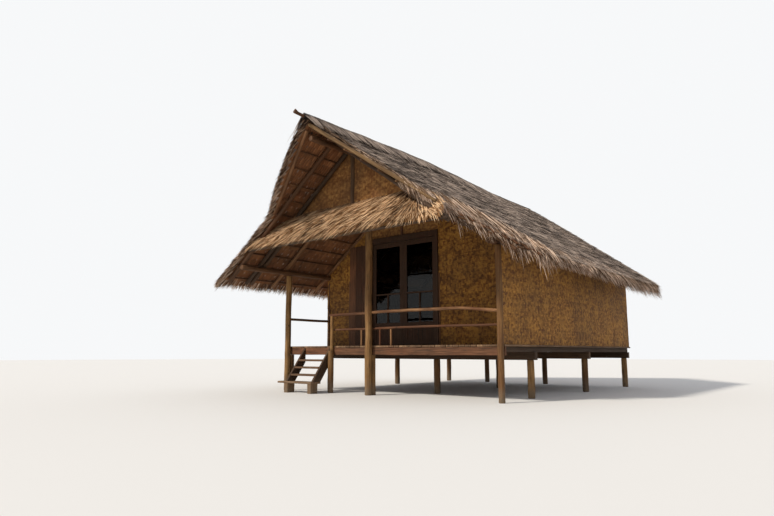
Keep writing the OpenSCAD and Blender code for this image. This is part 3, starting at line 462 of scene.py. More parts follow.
# The veins run along the leaf, and the leaf's tone moves them, so that no two leaves have the same ones
vein_x, vein_z = calc(leaf, "MULTIPLY", apart["X"], 7.0), calc(leaf, "MULTIPLY", own, 91.0)
vein_place = add(leaf, "ShaderNodeCombineXYZ", {0: vein_x, 1: apart["Y"], 2: vein_z}).outputs[0]
vein = cloud(leaf, vein_place, scale=1.6, detail=3.0, rough=0.6)
patch = cloud(leaf, spot, scale=0.9, detail=4.0, rough=0.6)
shade = calc(leaf, "ADD", own, calc(leaf, "MULTIPLY_ADD", patch, 0.8, -0.4))
shade = calc(leaf, "ADD", shade, calc(leaf, "MULTIPLY_ADD", vein, 0.5, -0.25))
paler = calc(leaf, "MULTIPLY", given["Tip"], calc(leaf, "ADD", apart["Y"], -0.4))
shade = calc(leaf, "ADD", shade, paler)
dry = mix(leaf, fade(leaf, shade, 0.0, 0.55), given["Old"], given["Middle"])
dry = mix(leaf, fade(leaf, shade, 0.55, 1.15), dry, given["Fresh"])
leaf.links.new(dry, result["Colour"])
leaf.links.new(vein, result["Height"])
print("leaf group:", len(leaf.nodes), "nodes")


def leaf_finish(name, old, middle, fresh, tip):
    """From old over middle to fresh by a leaf's shade, which grows by tip from its root to its tip."""
    made, tree, shader = open_material(name)
    spot = add(tree, "ShaderNodeTexCoord").outputs["UV"]
    grown = use_group(tree, leaf, {"Place": spot, "Old": old, "Middle": middle, "Fresh": fresh, "Tip": tip})
    aged = use_group(tree, weather, {"Colour": grown["Colour"], "Stains": 0.25})
    tree.links.new(aged["Colour"], shader.inputs["Base Color"])
    tree.links.new(bump(tree, grown["Height"], strength=0.4, distance=0.003), shader.inputs["Normal"])
    shader.inputs["Roughness"].default_value = 0.85
    shader.inputs["Specular IOR Level"].default_value = 0.25
    return made


roof_leaf = leaf_finish("roof leaf", old=rgb(0.016, 0.011, 0.009), middle=rgb(0.130, 0.100, 0.084),
                        fresh=rgb(0.54, 0.43, 0.355), tip=0.3)
eave_leaf = leaf_finish("eave leaf", old=rgb(0.026, 0.013, 0.007), middle=rgb(0.23, 0.135, 0.078),
                        fresh=rgb(0.82, 0.61, 0.46), tip=0.4)
skirt_leaf = leaf_finish("skirt leaf", old=rgb(0.040, 0.016, 0.005), middle=rgb(0.34, 0.165, 0.062),
                         fresh=rgb(0.86, 0.58, 0.34), tip=0.4)
under_leaf = leaf_finish("under leaf", old=rgb(0.055, 0.020, 0.008), middle=rgb(0.185, 0.074, 0.028),
                         fresh=rgb(0.38, 0.17, 0.07), tip=0.1)

# %% [markdown]
# ## Glass
#
# The door's panes are plain thin glass in front of a dark room. They could be painted dark grey, but real
# glass shows the room when one looks straight in and the sky when one looks from the side. The pane's colour
# is dark, as painted shade of the room behind it, so that what shows is mostly the reflection, and a plain
# cloud makes some places a little duller.

# %% Glass
pane, tree, shader = open_material("pane glass")
# The pane's dark colour is painted shade of the room behind it
shader.inputs["Base Color"].default_value = rgb(0.13, 0.14, 0.12)
shader.inputs["Transmission Weight"].default_value = 1.0
shader.inputs["IOR"].default_value = 1.3
smear = cloud(tree, add(tree, "ShaderNodeTexCoord").outputs["Object"], scale=6.0)
tree.links.new(fade(tree, smear, 0.4, 0.8, low=0.0, high=0.03), shader.inputs["Roughness"])
print("materials:", len(bpy.data.materials), "groups:", len(bpy.data.node_groups))

# %% [markdown]
# ## Building meshes from arrays
#
# A part is a set of points with the faces between them, a place on the map for every corner of a face, and
# a tone for every point. Parts can be joined, and only the last step hands them to Blender. Blender's own
# operators could add and join things one at a time, but arrays are handed over whole, which is quicker.

# %% Parts
SHARP_ANGLE = math.radians(40.0)  # an edge between faces that turn more than this is drawn sharp


def part(points, faces, maps, tone):
    """points (n, 3); faces, arrays of corner numbers; maps, the map place of each corner; tone (n,)."""
    return {"points": points, "faces": faces, "maps": maps, "tone": tone}


def joined(parts):
    """One part from several: the corner numbers of each are moved past the points before it."""
    starts = np.cumsum([0] + [len(p["points"]) for p in parts])
    faces = [f + start for p, start in zip(parts, starts) for f in p["faces"]]
    maps = [m for p in parts for m in p["maps"]]
    points = np.concatenate([p["points"] for p in parts])
    return part(points, faces, maps, np.concatenate([p["tone"] for p in parts]))


def show(name, shape, finish, replaces=(), body="root"):
    """Makes the mesh, gives it its finish, its map and its tones, and rides it on a body of the frame."""
    mesh = bpy.data.meshes.new(name)
    mesh.vertices.add(len(shape["points"]))
    mesh.vertices.foreach_set("co", shape["points"].astype(np.float32).ravel())
    corners = np.concatenate([f.ravel() for f in shape["faces"]])
    sizes = np.concatenate([np.full(len(f), f.shape[1]) for f in shape["faces"]])
    mesh.loops.add(len(corners))
    mesh.loops.foreach_set("vertex_index", corners.astype(np.int32))
    mesh.polygons.add(len(sizes))
    mesh.polygons.foreach_set("loop_start", (np.cumsum(sizes) - sizes).astype(np.int32))
    mesh.update(calc_edges=True)
    layer = mesh.uv_layers.new(name="map")
    spots = np.concatenate([m.reshape(-1, 2) for m in shape["maps"]])
    layer.data.foreach_set("uv", spots.astype(np.float32).ravel())
    own = mesh.attributes.new("tone", "FLOAT", "POINT")
    own.data.foreach_set("value", shape["tone"].astype(np.float32))
    mesh.polygons.foreach_set("use_smooth", np.ones(len(sizes), bool))
    mesh.set_sharp_from_angle(angle=SHARP_ANGLE)
    mesh.materials.append(finish)
    piece = bpy.data.objects.new(name, mesh)
    bpy.context.scene.collection.objects.link(piece)
    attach(piece, body)
    if replaces:
        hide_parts(*replaces)
    print(f"{name}: {int((sizes - 2).sum())} triangles")


# %% [markdown]
# ## Unevenness
#
# Nothing on a hut is straight. One helper gives smooth, repeatable unevenness: the mean of a few sine waves
# in random directions. The seed fixes the directions, so each run makes the same house. Blender's Displace
# modifier does much the same, but a function can also bend a whole row of leaves or decide how far a tip
# hangs.

# %% Unevenness
WAVES = 7  # sines in a ripple


def ripple(points, size, seed):
    """Smooth unevenness of about -1 to 1 at points (..., d): 1.7 times the mean of sines about size long."""
    rng = np.random.default_rng(seed)
    way = rng.normal(size=(WAVES, points.shape[-1]))
    way *= 2 * math.pi / size * rng.uniform(0.6, 1.7, (WAVES, 1)) / np.linalg.norm(way, axis=1, keepdims=True)
    return np.sin(points @ way.T + rng.uniform(0, 2 * math.pi, WAVES)).mean(-1) * 1.7


def unit(vectors):
    """Vectors divided by their lengths."""
    return vectors / np.linalg.norm(vectors, axis=-1, keepdims=True)


def grid_faces(rows, columns, wrap=False):
    """Corner numbers of the faces of a grid, and each corner's row and column before any wrapping."""
    i, j = np.meshgrid(np.arange(rows - 1), np.arange(columns if wrap else columns - 1), indexing="ij")
    row = np.stack([i, i, i + 1, i + 1], -1).reshape(-1, 4)
    column = np.stack([j, j + 1, j + 1, j], -1).reshape(-1, 4)
    return row * columns + column % columns, row, column


line = ripple(np.linspace(0, 10, 1000)[:, None], 1.0, 1)
print("a ripple runs from", round(float(line.min()), 2), "to", round(float(line.max()), 2))

# %% [markdown]
# ## Poles and timber
#
# A pole is a profile carried along a line. A cylinder with a bevel would be quicker, but it would look
# turned on a lathe. Here the rings wander a little off the line and swell and shrink, and the arrays hold
# many poles at once, by pole, ring and corner.

# %% Carried profiles
def carried(centre, hint, profile, tone, seed):
    """Closed profiles (n, rings, corners, 2) carried along lines (n, rings, 3), with flat ends. hint is the
    way that a profile's second number points; a third one, if any, pushes the corner along the line."""
    count, rings, corners = profile.shape[:3]
    run = unit(centre[:, -1] - centre[:, 0])
    across = unit(np.cross(np.broadcast_to(hint, run.shape), run))
    lift = np.cross(run, across)
    points = centre[:, :, None] + profile[..., :1] * across[:, None, None]
    points = points + profile[..., 1:2] * lift[:, None, None]
    points = points + profile[..., 2:].sum(-1, keepdims=True) * run[:, None, None]
    side, row, column = grid_faces(rings, corners, wrap=True)
    k = np.arange(corners // 2 - 1)
    cap = np.stack([k, k + 1, corners - k - 2, corners - k - 1], -1)
    ends = np.concatenate([cap[:, ::-1], cap + (rings - 1) * corners])
    away = np.linalg.norm(np.diff(centre, axis=1), axis=-1)
    length = np.concatenate([np.zeros((count, 1)), np.cumsum(away, 1)], 1)
    edge = np.linalg.norm(np.diff(profile[:, 0, :, :2], axis=1, append=profile[:, 0, :1, :2]), axis=-1)
    girth = np.concatenate([np.zeros((count, 1)), np.cumsum(edge, 1)], 1)
    shift = np.random.default_rng(seed).uniform(0, 9, (count, 1, 1, 2))
    side_map = np.stack([girth[:, column], length[:, row]], -1) + shift
    end_map = profile[..., :2].reshape(count, -1, 2)[:, ends] + shift
    offset = (np.arange(count) * rings * corners)[:, None, None]
    faces = [(side + offset).reshape(-1, 4), (ends + offset).reshape(-1, 4)]
    tones = np.repeat(tone, rings * corners)
    return part(points.reshape(-1, 3), faces, [side_map.reshape(-1, 4, 2), end_map.reshape(-1, 4, 2)], tones)


# %% [markdown]
# ### Round poles
#
# A natural pole swells and shrinks, most of all at its knots, and the rings at its two ends are drawn in,
# which rounds the cut edge. A texture could only shade those bumps, while real ones also show in the
# outline.

# %% Round poles
KNOTS = 3  # on each pole
KNOT_LENGTH = 0.05  # metres along the pole
CUT_EDGE = 0.88  # size of the last ring at each end


def round_poles(starts, ends, diameters, seed, sides=12, rings=13, wander=0.004, uneven=0.04, bend=None):
    """Natural poles. The radius is half the diameter times one plus a few hundredths of ripple along and
    round the pole, plus knots, which are bumps like bell curves. bend (rings,) lifts the middle line."""
    rng = np.random.default_rng(seed)
    starts, ends = np.atleast_2d(starts), np.atleast_2d(ends)
    count = len(starts)
    diameters = np.broadcast_to(diameters, (count,)).astype(float)
    length = np.linalg.norm(ends - starts, axis=1)
    share = np.concatenate([[0.0], np.linspace(0, 1, rings - 2), [1.0]])
    share = np.broadcast_to(share, (count, rings)).copy()
    share[:, 1] = 0.1 * diameters / length
    share[:, -2] = 1 - share[:, 1]
    centre = starts[:, None] + (ends - starts)[:, None] * share[..., None]
    run = unit(ends - starts)
    hint = np.where(np.abs(run[:, 2:]) < 0.9, [0.0, 0.0, 1.0], [0.0, 1.0, 0.0])
    own = rng.uniform(0, 50, (count, 1))
    along = np.stack([share * length[:, None] + own, np.broadcast_to(own, share.shape)], -1)
    across = unit(np.cross(hint, run))
    sway = np.sin(math.pi * share)[..., None] * wander
    centre = centre + across[:, None] * ripple(along, 1.6, seed)[..., None] * sway
    centre = centre + np.cross(run, across)[:, None] * ripple(along, 1.9, seed + 1)[..., None] * sway
    if bend is not None:
        centre[..., 2] += np.asarray(bend)
    angle = np.arange(sides) * 2 * math.pi / sides
    round_x, round_y = 0.16 * np.cos(angle), 0.16 * np.sin(angle)
    skin = np.stack(np.broadcast_arrays(along[..., :1] * 1.0, round_x, round_y, own[..., None]), -1)
    radius = 1 + uneven * ripple(skin, 0.45, seed + 2)
    knot_at, knot_way = rng.uniform(0.08, 0.92, (2, count, KNOTS)) * [[[1.0]], [[2 * math.pi]]]
    for knot in range(KNOTS):
        near = np.exp(-(((share - knot_at[:, knot, None]) * length[:, None] / KNOT_LENGTH) ** 2))[..., None]
        facing = np.exp(2.5 * (np.cos(angle - knot_way[:, knot, None]) - 1))[:, None]
        radius = radius + 1.8 * uneven * near * facing
    radius[:, [0, -1]] *= CUT_EDGE
    radius = radius * diameters[:, None, None] / 2
    profile = np.stack([radius * np.cos(angle), radius * np.sin(angle)], -1)
    return carried(centre, hint, profile, rng.uniform(0, 1, count), seed)


print("points in a pole:", len(round_poles([[0, 0, 0]], [[0, 0, 1]], 0.1, 1)["points"]))

# %% [markdown]
# ### Sawn timber
#
# Sawn timber is the same idea with a rectangle. A new beam has sharp edges, but these are worn, so each
# corner is cut into two. A bevel modifier would do that as well, but not the slight swell along the beam.

# %% Sawn timber
RECTANGLE = np.array([[1, -1], [1, 1], [-1, 1], [-1, -1]])
# How the two points of each corner are drawn in from it, along one side and along the other
CUT = np.array([[[-1, 0], [0, 1]], [[0, -1], [-1, 0]], [[1, 0], [0, -1]], [[0, 1], [1, 0]]])


def sawn(starts, ends, width, depth, up, seed, worn=0.004, rings=7, rough=0.0015):
    """Sawn timber: a rectangle with its corners cut, carried along a line; each ring is a little wider or
    narrower than the last, by ripple along its length."""
    rng = np.random.default_rng(seed)
    starts, ends = np.atleast_2d(starts), np.atleast_2d(ends)
    count = len(starts)
    width, depth = (np.broadcast_to(v, (count,)).astype(float) for v in (width, depth))
    share = np.broadcast_to(np.linspace(0, 1, rings), (count, rings))
    centre = starts[:, None] + (ends - starts)[:, None] * share[..., None]
    half = np.stack([width, depth], -1)[:, None] / 2 * RECTANGLE
    corners = (half[:, :, None] + worn * CUT).reshape(count, 8, 2)
    length = np.linalg.norm(ends - starts, axis=1)[:, None]
    own = np.arange(count)[:, None] * 3.7
    along = np.stack([share * length + rng.uniform(0, 50, (count, 1)), own + 0 * share], -1)
    swell = rough * ripple(along, 0.8, seed)
    profile = corners[:, None] * (1 + (swell / half.max(axis=(1, 2))[:, None])[..., None, None])
    return carried(centre, up, profile, rng.uniform(0, 1, count), seed)


# %% [markdown]
# ## Reading the solids
#
# A node may hold many poles. Its separate solids are found by letting neighbouring points share the lowest
# number that reaches them. A round solid's line is its longest direction, and its diameter is what it
# measures across that line. The lines could be typed in again, but read from the solids they are right by
# themselves.

# %% Solids
BOX_CORNERS = 8  # a solid with no more points than this is a box


def solids(node):
    """The separate solids of a node, each as an array of its corner points."""
    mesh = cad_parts[node].data
    spots = np.zeros(len(mesh.vertices) * 3, np.float32)
    mesh.vertices.foreach_get("co", spots)
    spots, same = np.unique(np.round(spots.reshape(-1, 3), 4), axis=0, return_inverse=True)
    edges = np.zeros(len(mesh.edges) * 2, np.int32)
    mesh.edges.foreach_get("vertices", edges)
    edges = same.ravel()[edges].reshape(-1, 2)
    label = np.arange(len(spots))
    changed = True
    while changed:
        low = label[edges].min(1)
        lower = label.copy()
        np.minimum.at(lower, edges[:, 0], low)
        np.minimum.at(lower, edges[:, 1], low)
        lower = lower[lower]
        changed = bool((lower != label).any())
        label = lower
    return [spots[label == k].astype(float) for k in np.unique(label)]


def pole_lines(node):
    """Starts, ends and diameters of a node's round solids."""
    lines = []
    for spots in solids(node):
        if len(spots) <= BOX_CORNERS:
            continue
        middle = spots.mean(0)
        axes = np.linalg.svd(spots - middle, full_matrices=False)[2]
        axes *= np.where(axes[:1] @ np.array([1.0, 1.0, 1.0]) < 0, -1.0, 1.0)
        low, high = ((spots - middle) @ axes.T).min(0), ((spots - middle) @ axes.T).max(0)
        centre = middle + axes[1] * (low + high)[1] / 2 + axes[2] * (low + high)[2] / 2
        lines.append((centre + axes[0] * low[0], centre + axes[0] * high[0], (high - low)[1:].mean()))
    starts, ends, diameters = zip(*lines)
    return np.array(starts), np.array(ends), np.array(diameters)


def boxes(node):
    """Low and high corners of a node's separate solids."""
    found = solids(node)
    return np.array([s.min(0) for s in found]), np.array([s.max(0) for s in found])


print("stilts:", len(pole_lines("stilts")[0]), "round, of", len(solids("stilts")), "solids")

# %% [markdown]
# ## Posts, rails and the roof's frame
#
# Each node of round timber becomes one piece of natural poles. Heavy posts get more sides than the many
# thin battens, which are seen only from below. A table holds what differs, and one loop makes them all.

# %% Round timber
# For each node: its finish, its slot, and the poles' sides, rings and wander in metres
ROUND_NODES = {
    "left_post": (post_wood, "post_wood", 20, 25, 0.006),
    "middle_post": (post_wood, "post_wood", 24, 33, 0.006),
    "right_post": (post_wood, "post_wood", 20, 25, 0.006),
    "room_posts": (post_wood, "post_wood", 14, 13, 0.003),
    "side_rail": (post_wood, "post_wood", 14, 13, 0.008),
    "middle_rail": (rail_wood, "post_wood", 14, 33, 0.012),
    "rail_uprights": (rail_wood, "post_wood", 12, 7, 0.002),
    "wall_plates": (roof_wood, "post_wood", 16, 31, 0.006),
    "tie_beams": (dark_wood, "dark_wood", 14, 15, 0.006),
    "ridge_pole": (roof_wood, "dark_wood", 14, 31, 0.006),
    "left_battens": (roof_wood, "dark_wood", 8, 33, 0.004),
    "right_battens": (roof_wood, "dark_wood", 8, 33, 0.004),
    "king_post": (dark_wood, "dark_wood", 16, 11, 0.003),
    # The skirt's frame gets the dark wood as painted shade, so that it sinks into the shadow under the fringe
    "skirt_frame": (dark_wood, "dark_wood", 10, 13, 0.003),
}
for number, (node, (finish, slot, sides, rings, wander)) in enumerate(ROUND_NODES.items()):
    shape = round_poles(*pole_lines(node), 100 + 10 * number, sides, rings, wander)
    show(node + "_poles", shape, finish, [node])

# %% [markdown]
# ### The top rail
#
# The top rail is one crooked pole from the middle post to the right one, and a straight shorter one on the
# left. The crooked one is drawn as a straight pole whose rings are then lifted: they arch a little up to
# the place where the rail turns down, and fall from there to the corner. A bent curve could do it, but not
# with the knots.

# %% Top rail
BEND_X, BEND_HALF = 1.81, 0.1  # where the rail turns down, and half the length of the turn
BEND_FALL, CORNER_FALL = -0.012, -0.062  # how far it has fallen past the turn, and at the corner
RAIL_ARCH = 0.010
RAIL_RINGS = 41
RAIL_INTO_POST = 0.02
RAIL_PAST = 0.01  # reach past the solid at the right corner
LEFT_RAIL_FALL = (0.012, 0.004)  # how far the left rail's two ends lie under the right rail

low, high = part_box("top_rail")
starts, ends, diameters = pole_lines("top_rail")
rail_dia, rail_y = high.y - low.y, (low.y + high.y) / 2
rail_z = high.z - diameters.min() / 2
right_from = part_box("middle_post")[1].x - RAIL_INTO_POST
share = np.concatenate([[0], np.linspace(0, 1, RAIL_RINGS - 2), [1]])
along = right_from + share * (high.x - right_from)
fall = np.interp(along, [BEND_X - BEND_HALF, BEND_X + BEND_HALF, high.x], [0, BEND_FALL, CORNER_FALL])
arch = RAIL_ARCH * np.sin(share * math.pi * 1.4)
left_start = [low.x, rail_y, rail_z - LEFT_RAIL_FALL[0]]
left_stop = [ends[np.argmin(starts[:, 0])][0] + RAIL_INTO_POST, rail_y, rail_z - LEFT_RAIL_FALL[1]]
right_start, right_stop = [right_from, rail_y, rail_z], [high.x + RAIL_PAST, rail_y, rail_z]
top_rails = joined([
    round_poles([left_start], [left_stop], rail_dia, 31, 16, 17, 0.008, 0.10),
    round_poles([right_start], [right_stop], rail_dia, 32, 16, RAIL_RINGS, 0.012, 0.10, bend=fall + arch),
])
show("top_rail_poles", top_rails, rail_wood, ["top_rail"])

# %% [markdown]
# ### The stair's post, and the stilts
#
# The stair's post is a slim pole on a thick stump. Most stilts are round, and two short squared blocks
# carry the stair's foot. Pieces of one node are joined into one mesh, because they replace the same solid.

# %% Stair post and stilts
STUMP_DIA, STUMP_H = 0.105, 0.79
SLIM_DIA, SLIM_SUNK = 0.062, 0.02  # the slim pole, and how deep it stands in the stump

low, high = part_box("stair_post")
post_x, stump_y, slim_y = (low.x + high.x) / 2, low.y + STUMP_DIA / 2, high.y - SLIM_DIA / 2
slim_foot = [post_x, slim_y, STUMP_H - SLIM_SUNK]
stair_posts = joined([
    round_poles([[post_x, stump_y, 0]], [[post_x, stump_y, STUMP_H]], STUMP_DIA, 33, 18, 15, 0.004),
    round_poles([slim_foot], [[post_x, slim_y, high.z]], SLIM_DIA, 34, 14, 13, 0.004),
])
show("stair_post_poles", stair_posts, post_wood, ["stair_post"])

block_low, block_high = boxes("stilts")
squared = np.array([len(s) <= BOX_CORNERS for s in solids("stilts")])
block_low, block_high = block_low[squared], block_high[squared]
block_size, middle = block_high - block_low, (block_low + block_high) / 2
upright = block_size * [0.0, 0.0, 0.5]
blocks = sawn(middle - upright, middle + upright, block_size[:, 0], block_size[:, 1], (0, 1, 0), 36,
              worn=0.01, rings=9, rough=0.004)
stilts = joined([round_poles(*pole_lines("stilts"), 35, 18, 9, 0.005), blocks])
show("stilts_poles", stilts, post_wood, ["stilts"])

# %% [markdown]
# ### Rafters and slanting poles
#
# Most rafters are reddish. Those at the gable's wall, and the first one on the right behind the slanting
# pole, get the dark wood as painted shade, since they lie in shadow. One finish with a darker tone would
# be simpler, but the tone moves a colour only a little.

# %% Rafters
NEAR_GABLE = 0.15

gable_y = sum(corner.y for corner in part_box("front_gable")) / 2
for seed, node in ((39, "left_rafters"), (40, "right_rafters")):
    starts, ends, diameters = pole_lines(node)
    place = (starts + ends)[:, 1] / 2
    # The rafters in shadow, at the gable and behind the right slanting pole, get the dark wood as painted
    # shade
    shaded = np.abs(place - gable_y) < NEAR_GABLE
    if node == "right_rafters":
        shaded |= place == place.min()
    painted_shade_rafters = round_poles(starts[shaded], ends[shaded], diameters[shaded], seed, 12, 19, 0.008)
    others = round_poles(starts[~shaded], ends[~shaded], diameters[~shaded], seed + 10, 12, 19, 0.008)
    show(node + "_poles", others, roof_wood, [node])
    show(node + "_shaded", painted_shade_rafters, dark_wood)

starts, ends, diameters = pole_lines("rake_poles")
on_left = (starts + ends)[:, 0] < 0
left_rake = round_poles(starts[on_left], ends[on_left], diameters[on_left], 41, 16, 21, 0.008)
right_rake = round_poles(starts[~on_left], ends[~on_left], diameters[~on_left], 42, 16, 21, 0.008)
show("left_rake_pole", left_rake, roof_wood, ["rake_poles"])
show("right_rake_pole", right_rake, rake_wood)

# %% [markdown]
# ## Timber of the floor
#
# The floor is plain sawn timber: beams on the stilts, joists on the beams, boards on the joists, and a
# reddish board along the deck's edge. The beams and joists follow the solids. The deck and the floor are
# single solids, so their boards are laid here, side by side with narrow gaps, each with its own width and
# its own end. Lines drawn on one slab would look the same from afar, but not at the deck's front, where the
# board ends show.

# %% Floor timber
AXES = np.eye(3)
BOARD_W, BOARD_T, BOARD_GAP = 0.125, 0.028, 0.007


def timbers(node, seed, worn=0.005, rings=9, rough=0.0015):
    """Sawn timber in place of a node's boxes: each runs along its longest side."""
    low, high = boxes(node)
    size, middle = high - low, (low + high) / 2
    longest = size.argmax(1)
    reach = AXES[longest] * size / 2
    upward = np.where(longest == 2, 1, 2)
    width_axis = 3 - longest - upward
    row = np.arange(len(size))
    width, depth = size[row, width_axis], size[row, upward]
    return sawn(middle - reach, middle + reach, width, depth, AXES[upward], seed, worn, rings, rough)


def boards(x_low, x_high, y_front, y_back, top_z, seed, notches=()):
    """Boards that run along the house between two places across. Widths differ by up to 15 %, and the front
    ends lie up to 14 mm back at random, or where a post stands at its notch (low x, high x, place)."""
    rng = np.random.default_rng(seed)
    count = round((x_high - x_low) / BOARD_W)
    edges = np.concatenate([[0], np.cumsum(rng.uniform(0.85, 1.15, count))])
    edges = x_low + edges / edges[-1] * (x_high - x_low)
    middle, wide = (edges[1:] + edges[:-1]) / 2, np.diff(edges) - BOARD_GAP
    front = y_front + rng.uniform(0, 0.014, count)
    for low_x, high_x, place in notches:
        front = np.where((edges[1:] > low_x) & (edges[:-1] < high_x), place, front)
    level = top_z - BOARD_T / 2 + rng.uniform(-0.0015, 0.0, count)
    starts = np.stack([middle, front, level], -1)
    ends = np.stack([middle, np.full(count, y_back) - rng.uniform(0, 0.003, count), level], -1)
    return sawn(starts, ends, wide, BOARD_T, (0, 0, 1), seed, worn=0.003, rings=9, rough=0.0012)


show("floor_beam_timber", timbers("floor_beams", 51), dark_wood, ["floor_beams"])
show("floor_joist_timber", timbers("floor_joists", 52), dark_wood, ["floor_joists"])
fascia = timbers("deck_fascia", 53, rings=41, rough=0.003)
show("deck_edge_board", fascia, red_board, ["deck_fascia"])

NOTCH_GAP = 0.002  # between a post and the board that ends in front of it
FLOOR_END = 0.014  # between the room's boards and the back wall

deck_low, deck_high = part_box("porch_deck")
edge_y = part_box("deck_fascia")[0].y
posts = [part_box(name) for name in ("left_post", "middle_post", "right_post", "stair_post")]
notches = [(low.x, high.x, edge_y + NOTCH_GAP) for low, high in posts]
deck = boards(deck_low.x, deck_high.x, deck_low.y, deck_high.y, DECK_Z, 54, notches=notches)
show("porch_deck_boards", deck, deck_wood, ["porch_deck"])
floor_low, floor_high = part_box("room_floor")
inner = boards(floor_low.x, floor_high.x, floor_low.y, floor_high.y - FLOOR_END, DECK_Z, 55)
show("room_floor_boards", inner, deck_wood, ["room_floor"])

# %% [markdown]
# ## Stair
#
# The stair has three treads between two strings, and the strings stand on a wide plank that lies on two
# blocks. A string is cut plumb against the deck's edge and level on the plank. A boolean modifier could cut
# it, but the carried rectangle can do it too: at each end the corners are pushed along the slope by what
# the cut needs.

# %% Stair
STAIR_RISE, STAIR_RUN = 0.88, 0.64  # from the ground to the deck, and along the ground
STRING_T, STRING_W = 0.045, 0.17
STRING_RINGS, STRING_WORN = 9, 0.004
STAIR_ANGLE = math.atan2(STAIR_RISE, STAIR_RUN)

low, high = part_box("stair_strings")
string_low, string_high = boxes("stair_strings")
plumb = STRING_W / math.cos(STAIR_ANGLE)
run_way = np.array([0, math.cos(STAIR_ANGLE), math.sin(STAIR_ANGLE)])


def stair_string(x, seed):
    """A string from the foot's plank to the deck. Its corners are pushed along the slope: at the plumb cut by
    their place across it times the slope, and at the level cut by minus that place over the slope."""
    top = np.array([x, high.y, high.z - plumb / 2])
    foot = top - run_way * ((top[2] - low.z) / run_way[2])
    share = np.linspace(0, 1, STRING_RINGS)
    centre = (foot + (top - foot) * share[:, None])[None]
    corners = np.repeat(RECTANGLE * [STRING_T / 2, STRING_W / 2], 2, 0) + STRING_WORN * CUT.reshape(8, 2)
    push_top = corners[:, 1] * math.tan(STAIR_ANGLE)
    push_foot = -corners[:, 1] / math.tan(STAIR_ANGLE)
    push = push_foot * (1 - share[:, None]) + push_top * share[:, None]
    swell = 1 + 0.012 * ripple(np.stack([share * 1.2, 0 * share + seed], -1), 0.6, seed)[:, None, None]
    profile = np.concatenate([np.broadcast_to(corners, (STRING_RINGS, 8, 2)) * swell, push[..., None]], -1)
    return carried(centre, np.array([0.0, 0.0, 1.0]), profile[None], np.array([0.4]), seed)


middles = (string_low[:, 0] + string_high[:, 0]) / 2
strings = joined([stair_string(x, 56 + k) for k, x in enumerate(middles)])
show("stair_string_planks", strings, dark_wood, ["stair_strings"])
treads = timbers("stair_treads", 58, worn=0.006, rough=0.003)
show("stair_tread_boards", treads, deck_wood, ["stair_treads"])
print("stair's slope in degrees:", round(math.degrees(STAIR_ANGLE), 1))

# %% [markdown]
# ## Mats on the walls
#
# A wall is made of mats, a lower one and an upper one that laps over it. A mat is not flat: it hangs on a
# few battens and bulges between them by a few millimetres. Cloth could be simulated for that, but bamboo is
# stiff and barely moves. So each mat is a slab with a grid for its outer face, moved in and out by ripple.

# %% Slabs and mats
def slab(front, back, spread, tone):
    """A closed shell between two grids (rows, columns, 3); spread (rows, columns, 2) is the map of both."""
    rows, columns = front.shape[:2]
    count = rows * columns
    face = grid_faces(rows, columns)[0]
    number = np.arange(count).reshape(rows, columns)
    rim = np.concatenate([number[0, :-1], number[:-1, -1], number[-1, :0:-1], number[:0:-1, 0]])
    after = np.roll(rim, -1)
    sides = np.stack([after, rim, rim + count, after + count], -1)
    faces = np.concatenate([face, face[:, ::-1] + count, sides])
    normal = np.cross(front[0, 1] - front[0, 0], front[1, 0] - front[0, 0])
    if normal @ (front.mean((0, 1)) - back.mean((0, 1))) < 0:
        faces = faces[:, ::-1]
    flat = np.tile(spread.reshape(-1, 2), (2, 1))
    points = np.concatenate([front.reshape(-1, 3), back.reshape(-1, 3)])
    return part(points, [faces], [flat[faces]], np.full(2 * count, tone))


MAT_CELL = 0.09  # size of a cell of the grid


def mat(corner, across, out, width, low, high, thick, seed, bulge=0.004):
    """A mat whose inner face starts at corner and spans width across; low and high give its edges' heights at
    each place across. Its outer face lies thick away, plus or minus ripple."""
    corner, across, out = (np.asarray(v, float) for v in (corner, across, out))
    place = np.linspace(0, width, max(3, round(width / MAT_CELL)))
    bottom, top = (np.broadcast_to(v(place) if callable(v) else v, place.shape) for v in (low, high))
    rows = max(3, round((top - bottom).max() / MAT_CELL))
    level = bottom + (top - bottom) * np.linspace(0, 1, rows)[:, None]
    place = np.broadcast_to(place, level.shape)
    points = corner + place[..., None] * across + level[..., None] * [0.0, 0.0, 1.0]
    # The seed also moves the map, so that no two mats show the same stretch of the weave
    spread = np.stack([place + 0.37 * seed, level], -1)
    front = points + out * (thick + bulge * ripple(spread, 0.55, seed))[..., None]
    return slab(front, points, spread, np.random.default_rng(seed).uniform(0, 1))


# %% [markdown]
# ### Mats under the roof
#
# The mats of the front and back walls go up to the roof, so their upper edges follow its slopes. That line
# is worked out from the same few values as the roof, because mats cut to it by hand would leave gaps or
# stick out.

# %% Walls
SEAM_Z = DECK_Z + 0.82  # where the upper mats begin
MAT_OVERLAP = 0.03  # how far the lower mats go up behind them
MAT_LAP = 0.006  # how much further in the lower mats lie
WALL_T = 0.04
ROOF_TOP_X = 0.05  # half width of the flat top that passes the ridge pole
ROOF_GAP = 0.004  # between a mat and what it ends under


def under_roof(x, drop):
    """Height of the line that lies a square drop under the roof's face, at a place across the house."""
    left, right = (RIDGE_Z - RISE[side] * np.abs(x) - drop / COS[side] for side in (-1, 1))
    return np.where(x < 0, left, right)


def flat_top(x):
    """A place across, moved to the edge of the flat top if it lies on it."""
    return np.where(x < 0, -1, 1) * np.maximum(np.abs(x), ROOF_TOP_X)


def roof_line(x):
    """The upper edge of a wall's mats, under the rafters."""
    return under_roof(flat_top(x), THATCH + BATTEN + RAFTER) - ROOF_GAP


